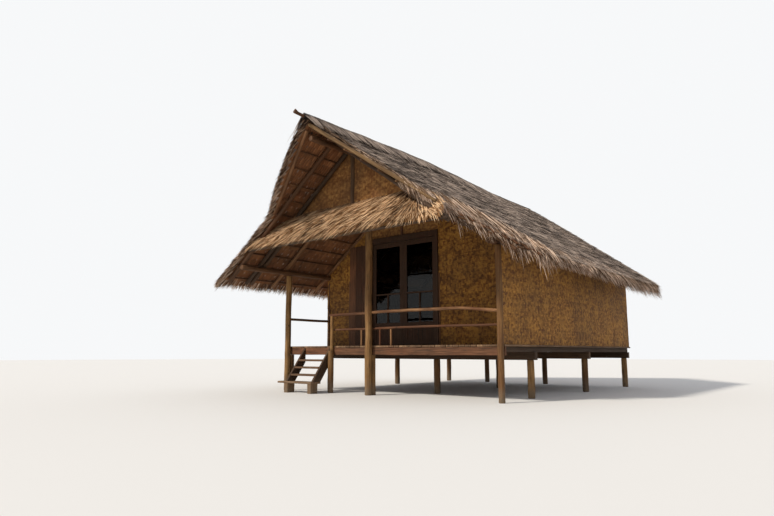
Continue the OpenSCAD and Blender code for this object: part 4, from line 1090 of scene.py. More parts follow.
def wall(low, high, facing, seed, seams=(), top=None):
    """Mats in place of a wall's box. facing is the outer side, as a unit vector; seams are the places along
    the wall where one lower mat ends and the next begins; top gives the upper edge by x where it follows the
    roof."""
    facing = np.asarray(facing, float)
    lengthways = np.array([0.0, 1.0, 0.0]) if abs(facing[0]) else np.array([1.0, 0.0, 0.0])
    inner = np.where(facing > 0, low, high) * np.abs(facing)
    start, length = low @ lengthways, (high - low) @ lengthways
    base = inner + start * lengthways
    crown_z = high[2] if top is None else (lambda place: top(start + place))
    stops = [0.0, *[seam - start for seam in seams], length]
    mats = [mat(base + a * lengthways, lengthways, facing, b - a, low[2], SEAM_Z + MAT_OVERLAP,
                WALL_T - MAT_LAP, seed + k) for k, (a, b) in enumerate(zip(stops, stops[1:]))]
    return joined(mats + [mat(base, lengthways, facing, length, SEAM_Z, crown_z, WALL_T, seed + 9)])


def node_box(node):
    """A node's lowest and highest corners, as arrays."""
    return tuple(np.array(corner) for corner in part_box(node))


# For each wall: the side that it faces, its seed, its seams and its upper edge
WALLS = {
    "front_wall_left": ((0, -1, 0), 60, (), roof_line),
    "front_wall_right": ((0, -1, 0), 61, (1.45,), roof_line),
    "back_wall": ((0, 1, 0), 70, (-0.8, 0.9), roof_line),
    "left_wall": ((-1, 0, 0), 80, (0.6, 2.2), None),
    "right_wall": ((1, 0, 0), 90, (0.43, 1.08), None),
}
for node, (facing, seed, seams, top) in WALLS.items():
    show(node + "_mats", wall(*node_box(node), facing, seed, seams, top), woven_mat, [node])

# %% [markdown]
# ### Mats over the door and in the gable
#
# Over the door a paler mat fills the wall up to the rafters. The gable's mats go up between the rafters to
# the battens, in two halves that end at the king post, and are thinner, so that the post stands out.

# %% Gable
GABLE_MAT_T = 0.024
LEAST_MAT = 0.005  # least height of a gable's mat, at its two ends


def gable_line(x):
    """The upper edge of the gable's mats, under the battens."""
    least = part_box("front_gable")[0].z + LEAST_MAT
    return np.maximum(under_roof(flat_top(x), THATCH + BATTEN) - ROOF_GAP, least)


def front_panel(low, high, line, thick, seed, bulge=0.004):
    """One mat that faces the front, from the foot of its box up to a line given by x."""
    corner, width = [low[0], high[1], 0], high[0] - low[0]
    return mat(corner, (1, 0, 0), (0, -1, 0), width, low[2], lambda place: line(low[0] + place), thick, seed,
               bulge)


over_door = front_panel(*node_box("over_door_wall"), roof_line, WALL_T, 101)
show("over_door_mat", over_door, gable_mat, ["over_door_wall"])
panels = [front_panel(low, high, gable_line, GABLE_MAT_T, 102 + k, bulge=0.005)
          for k, (low, high) in enumerate(zip(*boxes("front_gable")))]
show("front_gable_mats", joined(panels), gable_mat, ["front_gable"])

# %% [markdown]
# ## Boards and battens on the front wall
#
# Beside the door the wall is closed with upright reddish boards, and thin battens cover the mats' edges.
# The solids are plain boxes with sharp edges, so both are sawn again on the same boxes.

# %% Wall trim
BROAD = 0.04  # a strip wider than this is a board, and not a batten


def box_timber(low, high, seed, worn=0.004):
    """Sawn timber that stands in upright boxes."""
    size, middle = high - low, (low + high) / 2
    upright = np.array([[0.0, 0.0, 0.5]]) * size[:, 2:]
    return sawn(middle - upright, middle + upright, size[:, 1], size[:, 0], (1, 0, 0), seed, worn,
                rings=15, rough=0.002)


trim_low, trim_high = boxes("wall_trim")
broad = trim_high[:, 0] - trim_low[:, 0] > BROAD
show("side_boards", box_timber(trim_low[broad], trim_high[broad], 103), red_board, ["wall_trim"])
show("mat_battens", box_timber(trim_low[~broad], trim_high[~broad], 104, 0.002), roof_wood)

# %% [markdown]
# ## Door
#
# The door's leaves and frame keep their exact solids, with panels, bars and hinges. They could be made anew
# like the rest, but they move and have to fit, and their flat faces and sharp edges are right as they are.
# They only need a finish.

# %% Door finishes
DOOR_FINISHES = {
    "door_frame": red_solid, "left_door_leaf": red_solid, "right_door_leaf": red_solid,
    "left_door_glass": pane, "right_door_glass": pane,
}
for node, finish in DOOR_FINISHES.items():
    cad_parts[node].data.materials.clear()
    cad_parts[node].data.materials.append(finish)
print("solids with a new finish:", list(DOOR_FINISHES))

# %% [markdown]
# ## One leaf, many times
#
# The roof is thatched with dry leaves, thousands of them. One leaf is a tube of three corners: its left
# edge, its right edge and its raised rib, drawn together at the tip. A flat strip would need fewer faces,
# but it vanishes when one looks along it, while this one has sixteen triangles and is closed from every
# side. A hair system could spread them, but hairs are threads, and not closed leaves. Here the whole field
# is worked out at once from arrays of roots, directions and sizes.

# %% Leaves
LEAF_STATIONS = (0.0, 0.4, 0.75, 1.0)  # shares of the length where a leaf has its rings and its tip
LEAF_WIDTHS = (0.6, 1.0, 0.76)  # shares of its width at the rings


def leaves(root, along, out, length, width, rise, droop=0.0, sway=0.0, roll=0.0, seed=0, tone=None,
           stations=LEAF_STATIONS, widths=LEAF_WIDTHS):
    """Leaves from their roots (n, 3). The middle line goes length along, and at a share t of it is off the
    straight line by rise outwards, droop downwards and sway sideways, all times t squared. roll turns the
    leaf about it. The rib stands a quarter of the width above the edges."""
    rng = np.random.default_rng(seed)
    count = len(root)
    length, width, rise, droop, sway, roll = (np.broadcast_to(v, (count,))[:, None]
                                              for v in (length, width, rise, droop, sway, roll))
    along = unit(np.broadcast_to(along, (count, 3)))
    out = np.broadcast_to(out, (count, 3))
    out = unit(out - (out * along).sum(-1, keepdims=True) * along)
    side = np.cross(out, along)
    t = np.array(stations)
    line = root[:, None] + along[:, None] * (length * t)[..., None]
    line = line + out[:, None] * (rise * t**2)[..., None] + side[:, None] * (sway * t**2)[..., None]
    line[..., 2] -= droop * t**2
    side, out = side * np.cos(roll) + out * np.sin(roll), out * np.cos(roll) - side * np.sin(roll)
    half = (width / 2 * np.array(widths))[..., None]
    body = line[:, :-1]
    edge, rib = side[:, None] * half, out[:, None] * half / 2
    ring = np.stack([body + edge, body + rib, body - edge], 2)
    points = np.concatenate([ring.reshape(count, 9, 3), line[:, -1:]], 1).reshape(-1, 3)
    quad, row, column = grid_faces(3, 3, wrap=True)
    tip = np.array([[6, 7, 9], [7, 8, 9], [8, 6, 9], [2, 1, 0]])
    tip_map = np.array([[[0, t[2]], [0.5, t[2]], [0.5, 1]], [[0.5, t[2]], [1, t[2]], [0.5, 1]],
                        [[1, t[2]], [1.5, t[2]], [1, 1]], [[1, 0], [0.5, 0], [0, 0]]])
    step = 10 * np.arange(count)[:, None, None]
    quad_map = np.broadcast_to(np.stack([column / 2, t[row]], -1), (count, 6, 4, 2))
    faces = [(quad + step).reshape(-1, 4), (tip + step).reshape(-1, 3)]
    maps = [quad_map.reshape(-1, 4, 2), np.broadcast_to(tip_map, (count, 4, 3, 2)).reshape(-1, 3, 2)]
    tone = rng.uniform(0, 1, count) if tone is None else tone
    return part(points, faces, maps, np.repeat(tone, 10))


one_leaf = leaves(np.zeros((1, 3)), (0, 0, 1), (0, 1, 0), 0.5, 0.02, 0.0)
print("points in a leaf:", len(one_leaf["points"]))

# %% [markdown]
# ## The slopes
#
# A place on a slope has three numbers: how far down from the ridge, how far along the house, and how far
# off the thatch's face. The face is not a plane: the ridge sags towards the back, the eave waves, and all
# of it is a little uneven. The unevenness fades out towards the underside, which lies on straight battens.
# A modifier could bend a flat roof like this, but then the leaves, the fringes and the ridge could not ask
# where its face lies.

# %% Places on a slope
LENGTH_OF_HOUSE = np.array([0.0, 1.0, 0.0])
# The wave of each eave, as (place along the house, height)
EAVE_WAVE = {
    -1: ((-2.72, 0.03), (-1.63, 0.04), (-0.53, -0.03), (0.56, -0.06), (1.65, -0.05), (2.75, 0.02),
         (3.84, 0.05)),
    1: ((-1.60, 0.02), (0.0, -0.01), (1.6, -0.03), (2.7, -0.05), (3.84, -0.03)),
}
RIDGE_SWELL = (-0.055, 0.05)  # the thatch follows the ridge's line no further down or up than this
ROOF_SWELL, ROOF_SWELL_SIZE = 0.012, 1.4  # height and length of the unevenness all over the roof


def down_slope(side):
    """The direction down a slope."""
    return np.array([side * COS[side], 0.0, -SIN[side]])


def off_slope(side):
    """The direction square to a slope, outwards."""
    return np.array([side * SIN[side], 0.0, COS[side]])


def swell(side, down, y):
    """How far the thatch's face stands above its plane: the ridge's line near the top, the eave's wave near
    the foot, each fading with the square of the distance, and ripple all over."""
    share = np.clip(down / SLOPE_LEN[side], 0, 1)
    ridge = np.clip(ridge_top(y) - RIDGE_Z - CAP_DEPTH, *RIDGE_SWELL) * (1 - share) ** 2
    eave = np.interp(y, *zip(*EAVE_WAVE[side])) * share**2
    spots = np.stack(np.broadcast_arrays(down, y + 20.0 * side), -1)
    return ridge + eave + ROOF_SWELL * ripple(spots, ROOF_SWELL_SIZE, 5)


def on_slope(side, down, y, lift):
    """The point at a place on a slope. Its swell counts in full from the face upwards, and less and less
    below it, down to nought at the underside."""
    flat = np.clip(1 + lift / THATCH, 0, 1)
    level = RIDGE_Z + swell(side, down, y) * flat - down * SIN[side] + lift * COS[side]
    return np.stack(np.broadcast_arrays(side * (down * COS[side] + lift * SIN[side]), y, level), -1)


def turned(way, towards, angle):
    """A direction turned by an angle towards another one."""
    return way * np.cos(angle)[..., None] + np.asarray(towards) * np.sin(angle)[..., None]


print("middle of the eaves:", [on_slope(side, SLOPE_LEN[side], 0.0, 0.0).round(3).tolist() for side in RISE])

# %% [markdown]
# ### The body of the thatch
#
# Real thatch is so thick with leaves that no light comes through. Leaves enough for that would be too many,
# so a slab lies inside them, dark as painted shade of the thatch's depths. It has a step for each course,
# and stops short of the edges, where the fringes are.

# %% Body of the thatch
COURSE = 0.190  # distance between two rows of leaves
RIGHT_BREAK_X, RIGHT_BREAK_W = 2.05, 0.25  # where the right edge's break begins, and its width
CORE_ROWS, CORE_COLUMNS = 79, 54
CORE_AT_EAVE = {-1: 0.14, 1: 0.24}  # how far the body stops short of the eave
CORE_AT_FRONT, CORE_PAST_BREAK = 0.06, 0.26  # and of the front edge, and how much more past the right break
CORE_AT_BACK = 0.05
CORE_TOP, CORE_FOOT, CORE_STEP = 0.034, 0.018, 0.014  # under the face, over the underside, and at a course
# The body's dark tone is painted shade of the depths of the thatch
CORE_MAP, CORE_SHADE_TONE = 3, 0.05  # scale of its map, and its dark tone


def past_break(side, down):
    """Nought up to the break in the right edge, and one from the end of the break onwards."""
    return np.clip((down * COS[side] - RIGHT_BREAK_X) / RIGHT_BREAK_W, 0, 1) * (side > 0)


def slope_core(side, seed):
    """A slab whose upper face rises evenly over each course and drops at its foot."""
    down = np.linspace(0, SLOPE_LEN[side] - CORE_AT_EAVE[side], CORE_ROWS)[:, None]
    front = front_edge(side, down * COS[side]) + CORE_AT_FRONT + CORE_PAST_BREAK * past_break(side, down)
    y = front + (BACK_Y - CORE_AT_BACK - front) * np.linspace(0, 1, CORE_COLUMNS)
    step = CORE_STEP * (down / COURSE % 1)
    spread = np.stack(np.broadcast_arrays(y, down), -1)
    top = on_slope(side, down, y, -CORE_TOP + step + 0.005 * ripple(spread, 0.4, seed))
    bottom = on_slope(side, down, y, -THATCH + CORE_FOOT)
    return slab(top, bottom, spread * CORE_MAP, CORE_SHADE_TONE)


# %% [markdown]
# ### Rows of leaves
#
# The leaves lie in rows, as the thatcher sewed them, but they have slipped and curled since. They could be
# scattered at random over the slope, and then the courses would be lost, which give the roof its stripes.

# %% Rows of leaves
FIRST_ROW = 0.30  # distance of the first row from the ridge
LEAF_SPACING = 0.0133  # distance of two leaves in a row
LEAF_W, LEAF_LENGTH = (0.010, 0.024), (0.42, 0.68)
LEAVES_AT_FRONT, LEAVES_PAST_BREAK, LEAVES_AT_BACK = 0.02, 0.36, 0.012  # set back, as the body is
# How far the straw colour and painted sunlight reach up from the right eave, and how strong they are,
# by place along the house
STRAW_AND_SUN_REACH = ((-2.0, 0.75), (-0.5, 0.60), (1.5, 0.40), (3.0, 0.2))
STRAW_AND_SUN_SHARE = ((1.0, 1.0), (3.5, 0.35))


def straw_and_sun_band(side, down, y):
    """How pale the thatch is, by straw colour and painted sunlight: one at the right eave in front,
    fading up and to the back.
    """
    up = SLOPE_LEN[side] - down
    near = np.clip(1 - up / np.interp(y, *zip(*STRAW_AND_SUN_REACH)), 0, 1) ** 0.7
    return near * np.interp(y, *zip(*STRAW_AND_SUN_SHARE)) * (side > 0)


def stark(tone, share):
    """Tones between 0 and 1, pushed apart by a share towards dark and light, as single strands are."""
    return tone + share * (np.where(tone < 0.5, -0.05, 1.05) - tone) * 0.6


def slope_leaves(side, seed):
    """Rows of leaves from the ridge to the eave. Each leaf starts inside the body, rises to the face and ends
    at its row, give or take a few centimetres; neighbours lean together by a slow ripple."""
    rng = np.random.default_rng(seed)
    rows = np.arange(FIRST_ROW, SLOPE_LEN[side] + 0.01, COURSE)
    places = np.arange(FRONT_Y - TIP_REACH, BACK_Y, LEAF_SPACING)
    down, y = (grid.ravel() for grid in np.meshgrid(rows, places, indexing="ij"))
    down = np.minimum(down + rng.normal(0, 0.05, len(down)), SLOPE_LEN[side])
    y = y + rng.uniform(-0.008, 0.008, len(y))
    edge = front_edge(side, down * COS[side])
    front = edge + LEAVES_AT_FRONT + LEAVES_PAST_BREAK * past_break(side, down)
    inside = (y > front) & (y < BACK_Y - LEAVES_AT_BACK)
    down, y, edge = down[inside], y[inside], edge[inside]
    count = len(down)
    length = np.minimum(rng.uniform(*LEAF_LENGTH, count), down - 0.03)
    lean = 0.08 * ripple(np.stack([down, y + 9 * side], -1), 1.6, seed) + rng.normal(0, 0.06, count)
    lean = np.where((y < edge + 0.5) | (y > BACK_Y - 0.3), lean * 0.5, lean)
    lean = lean - 0.35 * straw_and_sun_band(side, down, y)
    way = turned(down_slope(side), LENGTH_OF_HOUSE, lean)
    root = on_slope(side, down - length, y - length * np.sin(lean), -0.04)
    rise = rng.uniform(0.032, 0.064, count)
    # The band lightens the leaves: straw colour and painted sunlight at the right eave
    tone = stark(rng.uniform(0, 1, count), 0.6) + 0.5 * straw_and_sun_band(side, down, y)
    return leaves(root, way, off_slope(side), length, rng.uniform(*LEAF_W, count), rise,
                  sway=rng.normal(0, 0.012, count), roll=rng.normal(0, 0.3, count), seed=seed, tone=tone)


for side, name in ((-1, "left"), (1, "right")):
    shape = joined([slope_core(side, 110 + side), slope_leaves(side, 120 + side)])
    show(name + "_slope_leaves", shape, roof_leaf, [name + "_thatch"])

# %% [markdown]
# ## Fringes
#
# Along the eaves the leaves hang over in a shaggy fringe. It can't be left to the last row, because there
# the eye sees the thatch's whole thickness. So several layers of leaves lie one under the other, from the
# face down to near the underside, and every leaf droops by an amount of its own.

# %% Fringe of the eaves
FRINGE_SPACING = 0.0125  # distance of two leaves in a layer
FRINGE_DEEP = -0.056  # the lowest layer, off the thatch's face
EAVE_TOP, EAVE_LAYERS = -0.004, 5
EAVE_LEAF_W, EAVE_LEAF_LENGTH = (0.010, 0.022), (0.30, 0.50)
EAVE_END = 0.25  # the leaves this near to an end lean towards it
# Along each eave, in front, in the middle and at the back: the leaves' droop, and their lean to the front
EAVE_STOPS = (-1.6, 0.0, 2.6)
EAVE_DROOP = {-1: (0.045, 0.045, 0.045), 1: (0.10, 0.10, 0.17)}
EAVE_LEAN = {-1: (0.0, 0.0, 0.0), 1: (0.62, 0.48, 0.25)}


def eave_fringe(side, seed):
    """Layers of leaves at the eave, with their tips near its line. Each leaf leans by ripple and at random,
    and those near an end lean towards it, so that their roots are in the thatch."""
    rng = np.random.default_rng(seed)
    front = front_edge(side, EAVE_X)
    layers = np.linspace(FRINGE_DEEP, EAVE_TOP, EAVE_LAYERS)
    places = np.arange(front - 0.02, BACK_Y, FRINGE_SPACING)
    depth, y = (grid.ravel() for grid in np.meshgrid(layers, places, indexing="ij"))
    count = len(y)
    y = y + rng.uniform(-0.01, 0.01, count)
    length = rng.uniform(*EAVE_LEAF_LENGTH, count)
    lean = 0.12 * ripple(y[:, None], 0.9, seed) + rng.normal(0, 0.11, count)
    lean = lean - np.interp(y, EAVE_STOPS, EAVE_LEAN[side])
    lean = np.where(y < front + EAVE_END, -np.abs(lean) - 0.05, lean)
    lean = np.where(y > BACK_Y - EAVE_END, np.abs(lean) * 0.4, lean)
    droop = rng.uniform(0.3, 1.6, count) * np.interp(y, EAVE_STOPS, EAVE_DROOP[side])
    tip_at = SLOPE_LEN[side] - 0.01 + rng.normal(0, 0.02, count) * (1 + 0.7 * (side > 0))
    root = on_slope(side, tip_at - length, y - length * np.sin(lean), depth)
    way = turned(down_slope(side), LENGTH_OF_HOUSE, lean)
    # The right eave's leaves are lighter by 0.15, as painted sunlight on the lit eave
    tone = stark(rng.uniform(0, 1, count), 0.7) + 0.15 * (side > 0)
    width = rng.uniform(*EAVE_LEAF_W, count)
    return leaves(root, way, off_slope(side), length, width, 0.3 * (depth - EAVE_TOP), droop,
                  rng.normal(0, 0.02, count), rng.normal(0, 0.5, count), seed, tone)


# %% [markdown]
# ### Fringe of the front edges
#
# Along the front edge the leaves lie with the slope near the ridge, and fan out more and more towards the
# eave, where their tips hang down in spikes. How they turn, droop and reach differs from place to place, so
# a table says it, and np.interp reads between its columns. One formula for all of it would be harder to
# read.

# %% Fringe of the front edges
EDGE_LAYERS = 9
EDGE_LEAF_LENGTH = (0.22, 0.40)
# For each side: places across, and there the angle in degrees, the droop, the reach past the edge, the tone
# Past the right break the tones are raised, as painted sunlight on the hanging leaves, which face down
FRINGE = {
    -1: ((0, 0.8, 1.4, 1.9, 2.6, 3.2), (5, 9, 24, 42, 40, 30), (0, 0.01, 0.02, 0.05, 0.05, 0.06),
         (0, 0.01, 0.02, 0.05, 0.05, 0.04), (-0.35, -0.35, -0.2, -0.1, -0.1, 0)),
    1: ((0, 1.45, 1.7, 2.1, 2.3, 2.55, 2.8, 3.0, 3.2), (4, 4, 16, 20, 24, 24, 30, 38, 36),
        (0, 0.01, 0.09, 0.16, 0.17, 0.12, 0.15, 0.19, 0.16), (0, 0, 0.08, 0.09, 0.07, 0.04, 0.06, 0.06, 0.02),
        (-0.3, -0.2, 0.3, 0.4, 0.35, 0.25, 0.3, 0.25, 0.2)),
}


def edge_fringe(side, seed):
    """Nine layers along the front edge. The angle is turned from the slope's direction towards the front.
    Past the right break the leaves are longer, the upper layers are set back from the edge step by step, and
    every tuft hangs a little more or less than the next, by ripple."""
    rng = np.random.default_rng(seed)
    layers, places = np.linspace(0, 1, EDGE_LAYERS), np.arange(0.03, SLOPE_LEN[side], FRINGE_SPACING)
    layer, down = (grid.ravel() for grid in np.meshgrid(layers, places, indexing="ij"))
    count = len(down)
    down = down + rng.uniform(-0.01, 0.01, count)
    x, past = down * COS[side], past_break(side, down)
    longer = 0.40 * past
    length = rng.uniform(*EDGE_LEAF_LENGTH, count) + longer * rng.uniform(0.2, 1, count)
    length = np.minimum(length, down + 0.04)
    stops, angles, droops, overs, tones = FRINGE[side]
    tuft = ripple(down[:, None], 0.35, seed)
    fan = np.radians(np.interp(x, stops, angles)) + rng.normal(0, 0.10, count) + 0.12 * tuft * past
    droop = np.interp(x, stops, droops) * rng.uniform(0.4, 1.4, count) * (1 + 0.6 * tuft)
    droop = droop * (1.3 - 0.5 * layer)
    over = np.interp(x, stops, overs) + rng.normal(0, 0.012, count) - 0.34 * layer * past
    tip_y = front_edge(side, x) - over
    lift = FRINGE_DEEP + (0.052 + 0.02 * past) * layer
    root = on_slope(side, down - length * np.cos(fan), tip_y + length * np.sin(fan) + 0.01, lift)
    way = turned(down_slope(side), -LENGTH_OF_HOUSE, fan)
    # The table's raised tones past the right break are painted sunlight
    tone = stark(rng.uniform(0, 1, count), 0.4 + 0.6 * past) + np.interp(x, stops, tones)
    wide = rng.uniform(*LEAF_W, count)
    rise = rng.uniform(0, 0.02, count) + 0.05 * past * layer - 0.016 * (1 - layer)
    return leaves(root, way, off_slope(side), length, wide, rise, droop, rng.normal(0, 0.015, count),
                  rng.normal(0, 0.5, count), seed, tone)


# %% [markdown]
# ### Fringe of the back edge
#
# The back edge is straight, and no photo shows it. Its leaves lie with the slope and lean a little to the
# back, in a few thin layers, which is the plainest way to close it.

# %% Fringe of the back edge
BACK_TOP, BACK_LAYERS = -0.01, 5
BACK_SPACING = 0.03
BACK_LEAF_W = (0.012, 0.026)


def back_fringe(side, seed):
    """Layers of leaves along the back edge, which lean by 2 to 14 degrees to the back."""
    rng = np.random.default_rng(seed)
    layers = np.linspace(FRINGE_DEEP, BACK_TOP, BACK_LAYERS)
    places = np.arange(0.05, SLOPE_LEN[side], BACK_SPACING)
    depth, down = (grid.ravel() for grid in np.meshgrid(layers, places, indexing="ij"))
    count = len(down)
    length = np.minimum(rng.uniform(*EDGE_LEAF_LENGTH, count), down)
    fan = np.radians(rng.uniform(2, 14, count))
    root = on_slope(side, down - length * np.cos(fan), BACK_Y - 0.01 - length * np.sin(fan), depth)
    way = turned(down_slope(side), LENGTH_OF_HOUSE, fan)
    return leaves(root, way, off_slope(side), length, rng.uniform(*BACK_LEAF_W, count), 0.0, 0.0,
                  rng.normal(0, 0.01, count), rng.normal(0, 0.5, count), seed)


for side, name in ((-1, "left"), (1, "right")):
    fringes = [eave_fringe(side, 130 + side), edge_fringe(side, 140 + side), back_fringe(side, 150 + side)]
    show(name + "_fringe", joined(fringes), eave_leaf)

# %% [markdown]
# ## The underside
#
# From the porch one looks up at the leaves' undersides: broad reddish strips in straight rows, one row on
# each thin stick that they were sewn to. A texture on the slab would show them, but not their edges against
# the light. The same leaf as above does it, broad and blunt, with its face turned down.

# %% Underside
STRIP_ROW, STRIP_SPACING, STRIP_LENGTH = 0.13, 0.052, 0.19
STRIP_WIDTH = (0.070, 0.086)
STRIP_OFF = 0.026  # how far the strips' roots lie over the thatch's underside
STRIP_STATIONS, STRIP_WIDTHS = (0.0, 0.5, 0.95, 1.0), (1, 1, 0.96)
TOP_ROW_END = 1.6  # further back the first row would show over the sunken ridge


def underside(side, seed):
    """Rows of broad blunt strips on the lower face, and no strip past the front edge."""
    rng = np.random.default_rng(seed)
    rows = np.arange(0.16, SLOPE_LEN[side] - 0.02, STRIP_ROW)
    places = np.arange(FRONT_Y - TIP_REACH, BACK_Y - 0.03, STRIP_SPACING)
    row, y = (grid.ravel() for grid in np.meshgrid(np.arange(len(rows)), places, indexing="ij"))
    down, y = rows[row] + rng.normal(0, 0.004, len(row)), y + rng.uniform(-0.006, 0.006, len(y))
    inside = (y > front_edge(side, down * COS[side]) + 0.06) & ((row > 0) | (y < TOP_ROW_END))
    row, down, y = row[inside], down[inside], y[inside]
    count = len(down)
    length = np.minimum(STRIP_LENGTH, down - 0.005)
    lean = rng.normal(0, 0.04, count)
    root = on_slope(side, down - length, y - length * np.sin(lean), -THATCH + STRIP_OFF)
    way = turned(down_slope(side), LENGTH_OF_HOUSE, lean)
    tone = rng.uniform(0.3, 0.75, count) + 0.12 * ripple(np.stack([row * 0.7, y], -1), 0.9, seed)
    return leaves(root, way, -off_slope(side), length, rng.uniform(*STRIP_WIDTH, count), 0.016,
                  roll=rng.normal(0, 0.03, count), seed=seed, tone=tone, stations=STRIP_STATIONS,
                  widths=STRIP_WIDTHS)


for side, name in ((-1, "left"), (1, "right")):
    show(name + "_underside", underside(side, 160 + side), under_leaf)

# %% [markdown]
# ## The ridge
#
# Over the ridge lies a roll of leaves, and more leaves are folded over it to both sides. The roll alone
# would look like a pipe, and the leaves alone would leave a gap at the crest. The roll is the same round
# body as the poles, carried along the ridge's measured line.

# %% Ridge roll
RIDGE_RINGS = 61
RIDGE_PAST = 0.05  # reach of the ridge's leaves past the slopes in front
ROLL_DIA, ROLL_OVER = 0.080, 0.010  # the roll, and how far its middle lies over the crease of the slopes
# How much of its tone the roll keeps, as painted shade, and how far its map reaches along a leaf
ROLL_SHADE_TONE, ROLL_MAP = 0.2, 0.02
# How far the roll has sunk into the slopes, by place along the house: most of its height at the back
RIDGE_SINK = ((0.5, 0.0), (BACK_Y - 0.6, 0.05), (BACK_Y, 0.10))


def ridge_sink(y):
    """How far the roll has sunk at a place along the house."""
    return np.interp(y, *zip(*RIDGE_SINK))


def roll_level(y):
    """Height of the roll's middle line: the crease of the slopes, plus a little, less what it has sunk."""
    return on_slope(1, 0.0, y, 0.0)[..., 2] + ROLL_OVER - ridge_sink(y)


ridge_y = np.linspace(FRONT_Y - TIP_REACH - RIDGE_PAST, BACK_Y - 0.02, RIDGE_RINGS)
ridge_z = roll_level(ridge_y)
roll_bend = ridge_z - np.interp(ridge_y, ridge_y[[0, -1]], ridge_z[[0, -1]])
roll_start, roll_stop = [0, ridge_y[0], ridge_z[0]], [0, ridge_y[-1], ridge_z[-1]]
roll = round_poles([roll_start], [roll_stop], ROLL_DIA, 171, 12, RIDGE_RINGS, 0.008, 0.07, bend=roll_bend)
# A leaf pales from its root to its tip. The roll is kept dark all along, as painted shade that merges it
# with the thatch's shadows, so its tone is scaled down and its map hardly moves that way.
roll["tone"] = ROLL_SHADE_TONE * roll["tone"]
roll["maps"] = [place * [1.0, ROLL_MAP] for place in roll["maps"]]
print("the roll falls by", round(float(ridge_z[0] - ridge_z[-1]), 3))

# %% [markdown]
# ### The pole at the ridge's tip
#
# A pole comes out of the ridge in front and ends in a short fork, where a branch was broken off. It lies
# under the leaves and sinks with them to the back, so its rings follow the roll's line. The branch is a
# pole as well.

# %% Ridge tip
TIP_PAST = np.array([[0.0, 0.07, 0.0]])  # reach of the broken tip past the solid
TIP_SHORT = [[0.0, 0.10, 0.0]]  # how much sooner the pole ends at the back
TIP_TURN, TIP_UP = 0.038, 12  # the tip turns up by this much, over one part in twelve of the pole
FORK_DIA = 0.026

starts, ends, diameters = pole_lines("ridge_tip_pole")
tip_share = np.concatenate([[0], np.linspace(0, 1, RIDGE_RINGS - 2), [1]])
tip_y = (starts + (ends - starts) * tip_share[:, None])[:, 1]
tip_bend = TIP_TURN * np.clip(1 - tip_share * TIP_UP, 0, 1) ** 1.5
tip_bend = tip_bend + np.minimum(roll_level(tip_y) - 0.01 - starts[0, 2], 0)
tip = starts[0] - TIP_PAST[0] + [0.0, 0.02, TIP_TURN]
tip_pole = joined([
    round_poles(starts - TIP_PAST, ends - TIP_SHORT, diameters * 0.94, 37, 14, RIDGE_RINGS, 0.006, 0.12,
                bend=tip_bend),
    round_poles([tip + [0, 0.10, -0.01]], [tip + [0.012, -0.015, 0.035]], FORK_DIA, 38, 10, 7),
])
show("ridge_tip_poles", tip_pole, roof_wood, ["ridge_tip_pole"])

# %% [markdown]
# ### The leaves on the ridge
#
# They are tied over the roll and hang down to both sides. Laid in one line they would end in one line too,
# which looks combed, so their lengths differ much, and their tips dip into the slope's own leaves.

# %% Leaves on the ridge
RIDGE_LAYERS, RIDGE_SPACING = np.array([0.0, 0.5, 1.0]), 0.0135
RIDGE_LEAF_LENGTH, RIDGE_LEAF_MORE = (0.16, 0.42), 0.26  # and how much longer the last layer's may be
LEAVES_OVER = 0.054  # height of the first layer's roots over the slope's face
LAYER_FALL = 0.014  # how much lower the last layer's roots lie than the first one's


def ridge_leaves(side, seed):
    """Three layers that start at the crest, over the roll, and come down to the slope. The line of roots is
    moved past the crest by their height times the slope's rise, where the roots of both sides meet."""
    rng = np.random.default_rng(seed)
    places = np.arange(ridge_y[0] + 0.01, BACK_Y - 0.01, RIDGE_SPACING)
    layer, y = (grid.ravel() for grid in np.meshgrid(RIDGE_LAYERS, places, indexing="ij"))
    count = len(y)
    length = rng.uniform(*RIDGE_LEAF_LENGTH, count) + RIDGE_LEAF_MORE * layer * rng.uniform(0, 1, count)
    lean = rng.normal(0, 0.10, count)
    lean = np.where(y < ridge_y[0] + 0.15, np.abs(lean), lean)
    top = LEAVES_OVER - LAYER_FALL * layer - ridge_sink(y) * 0.9
    root = on_slope(side, -np.clip(top, 0, None) * RISE[side], y, top)
    way = turned(down_slope(side), LENGTH_OF_HOUSE, lean)
    dip = 0.008 - top - rng.uniform(0, 0.03, count)
    return leaves(root, way, off_slope(side), length, rng.uniform(*LEAF_W, count), dip,
                  sway=rng.normal(0, 0.01, count), roll=rng.normal(0, 0.3, count), seed=seed)


ridge = joined([roll, ridge_leaves(-1, 172), ridge_leaves(1, 173)])
show("ridge_leaves", ridge, roof_leaf, ["ridge_cap"])

# %% [markdown]
# ## The skirt
#
# Below the gable hangs a skirt of thatch, thick and golden, with a shaggy lower edge. Its leaves lie down
# its face, and towards the ends they fan out sideways until they meet the fringes of the roof. It could be
# a copy of a piece of the roof, but its plane is turned to the front and its leaves are longer, so it gets
# its own places.

# %% Skirt
SKIRT_LOW, SKIRT_HIGH = node_box("skirt_thatch")
SKIRT_T = 0.08
SKIRT_FALL = 0.59  # from its upper edge to its lower one
SKIRT_TOP = np.array([0.0, SKIRT_HIGH[1], SKIRT_HIGH[2]])  # the middle of its upper edge
SKIRT_OUT = SKIRT_HIGH[1] - SKIRT_LOW[1]  # its reach to the front
SKIRT_ANGLE, SKIRT_LEN = math.atan2(SKIRT_FALL, SKIRT_OUT), math.hypot(SKIRT_FALL, SKIRT_OUT)
SKIRT_GAP = 0.03  # between its ends and the roof's underside
skirt_down = np.array([0.0, -math.cos(SKIRT_ANGLE), -math.sin(SKIRT_ANGLE)])
skirt_off = np.array([0.0, -math.sin(SKIRT_ANGLE), math.cos(SKIRT_ANGLE)])


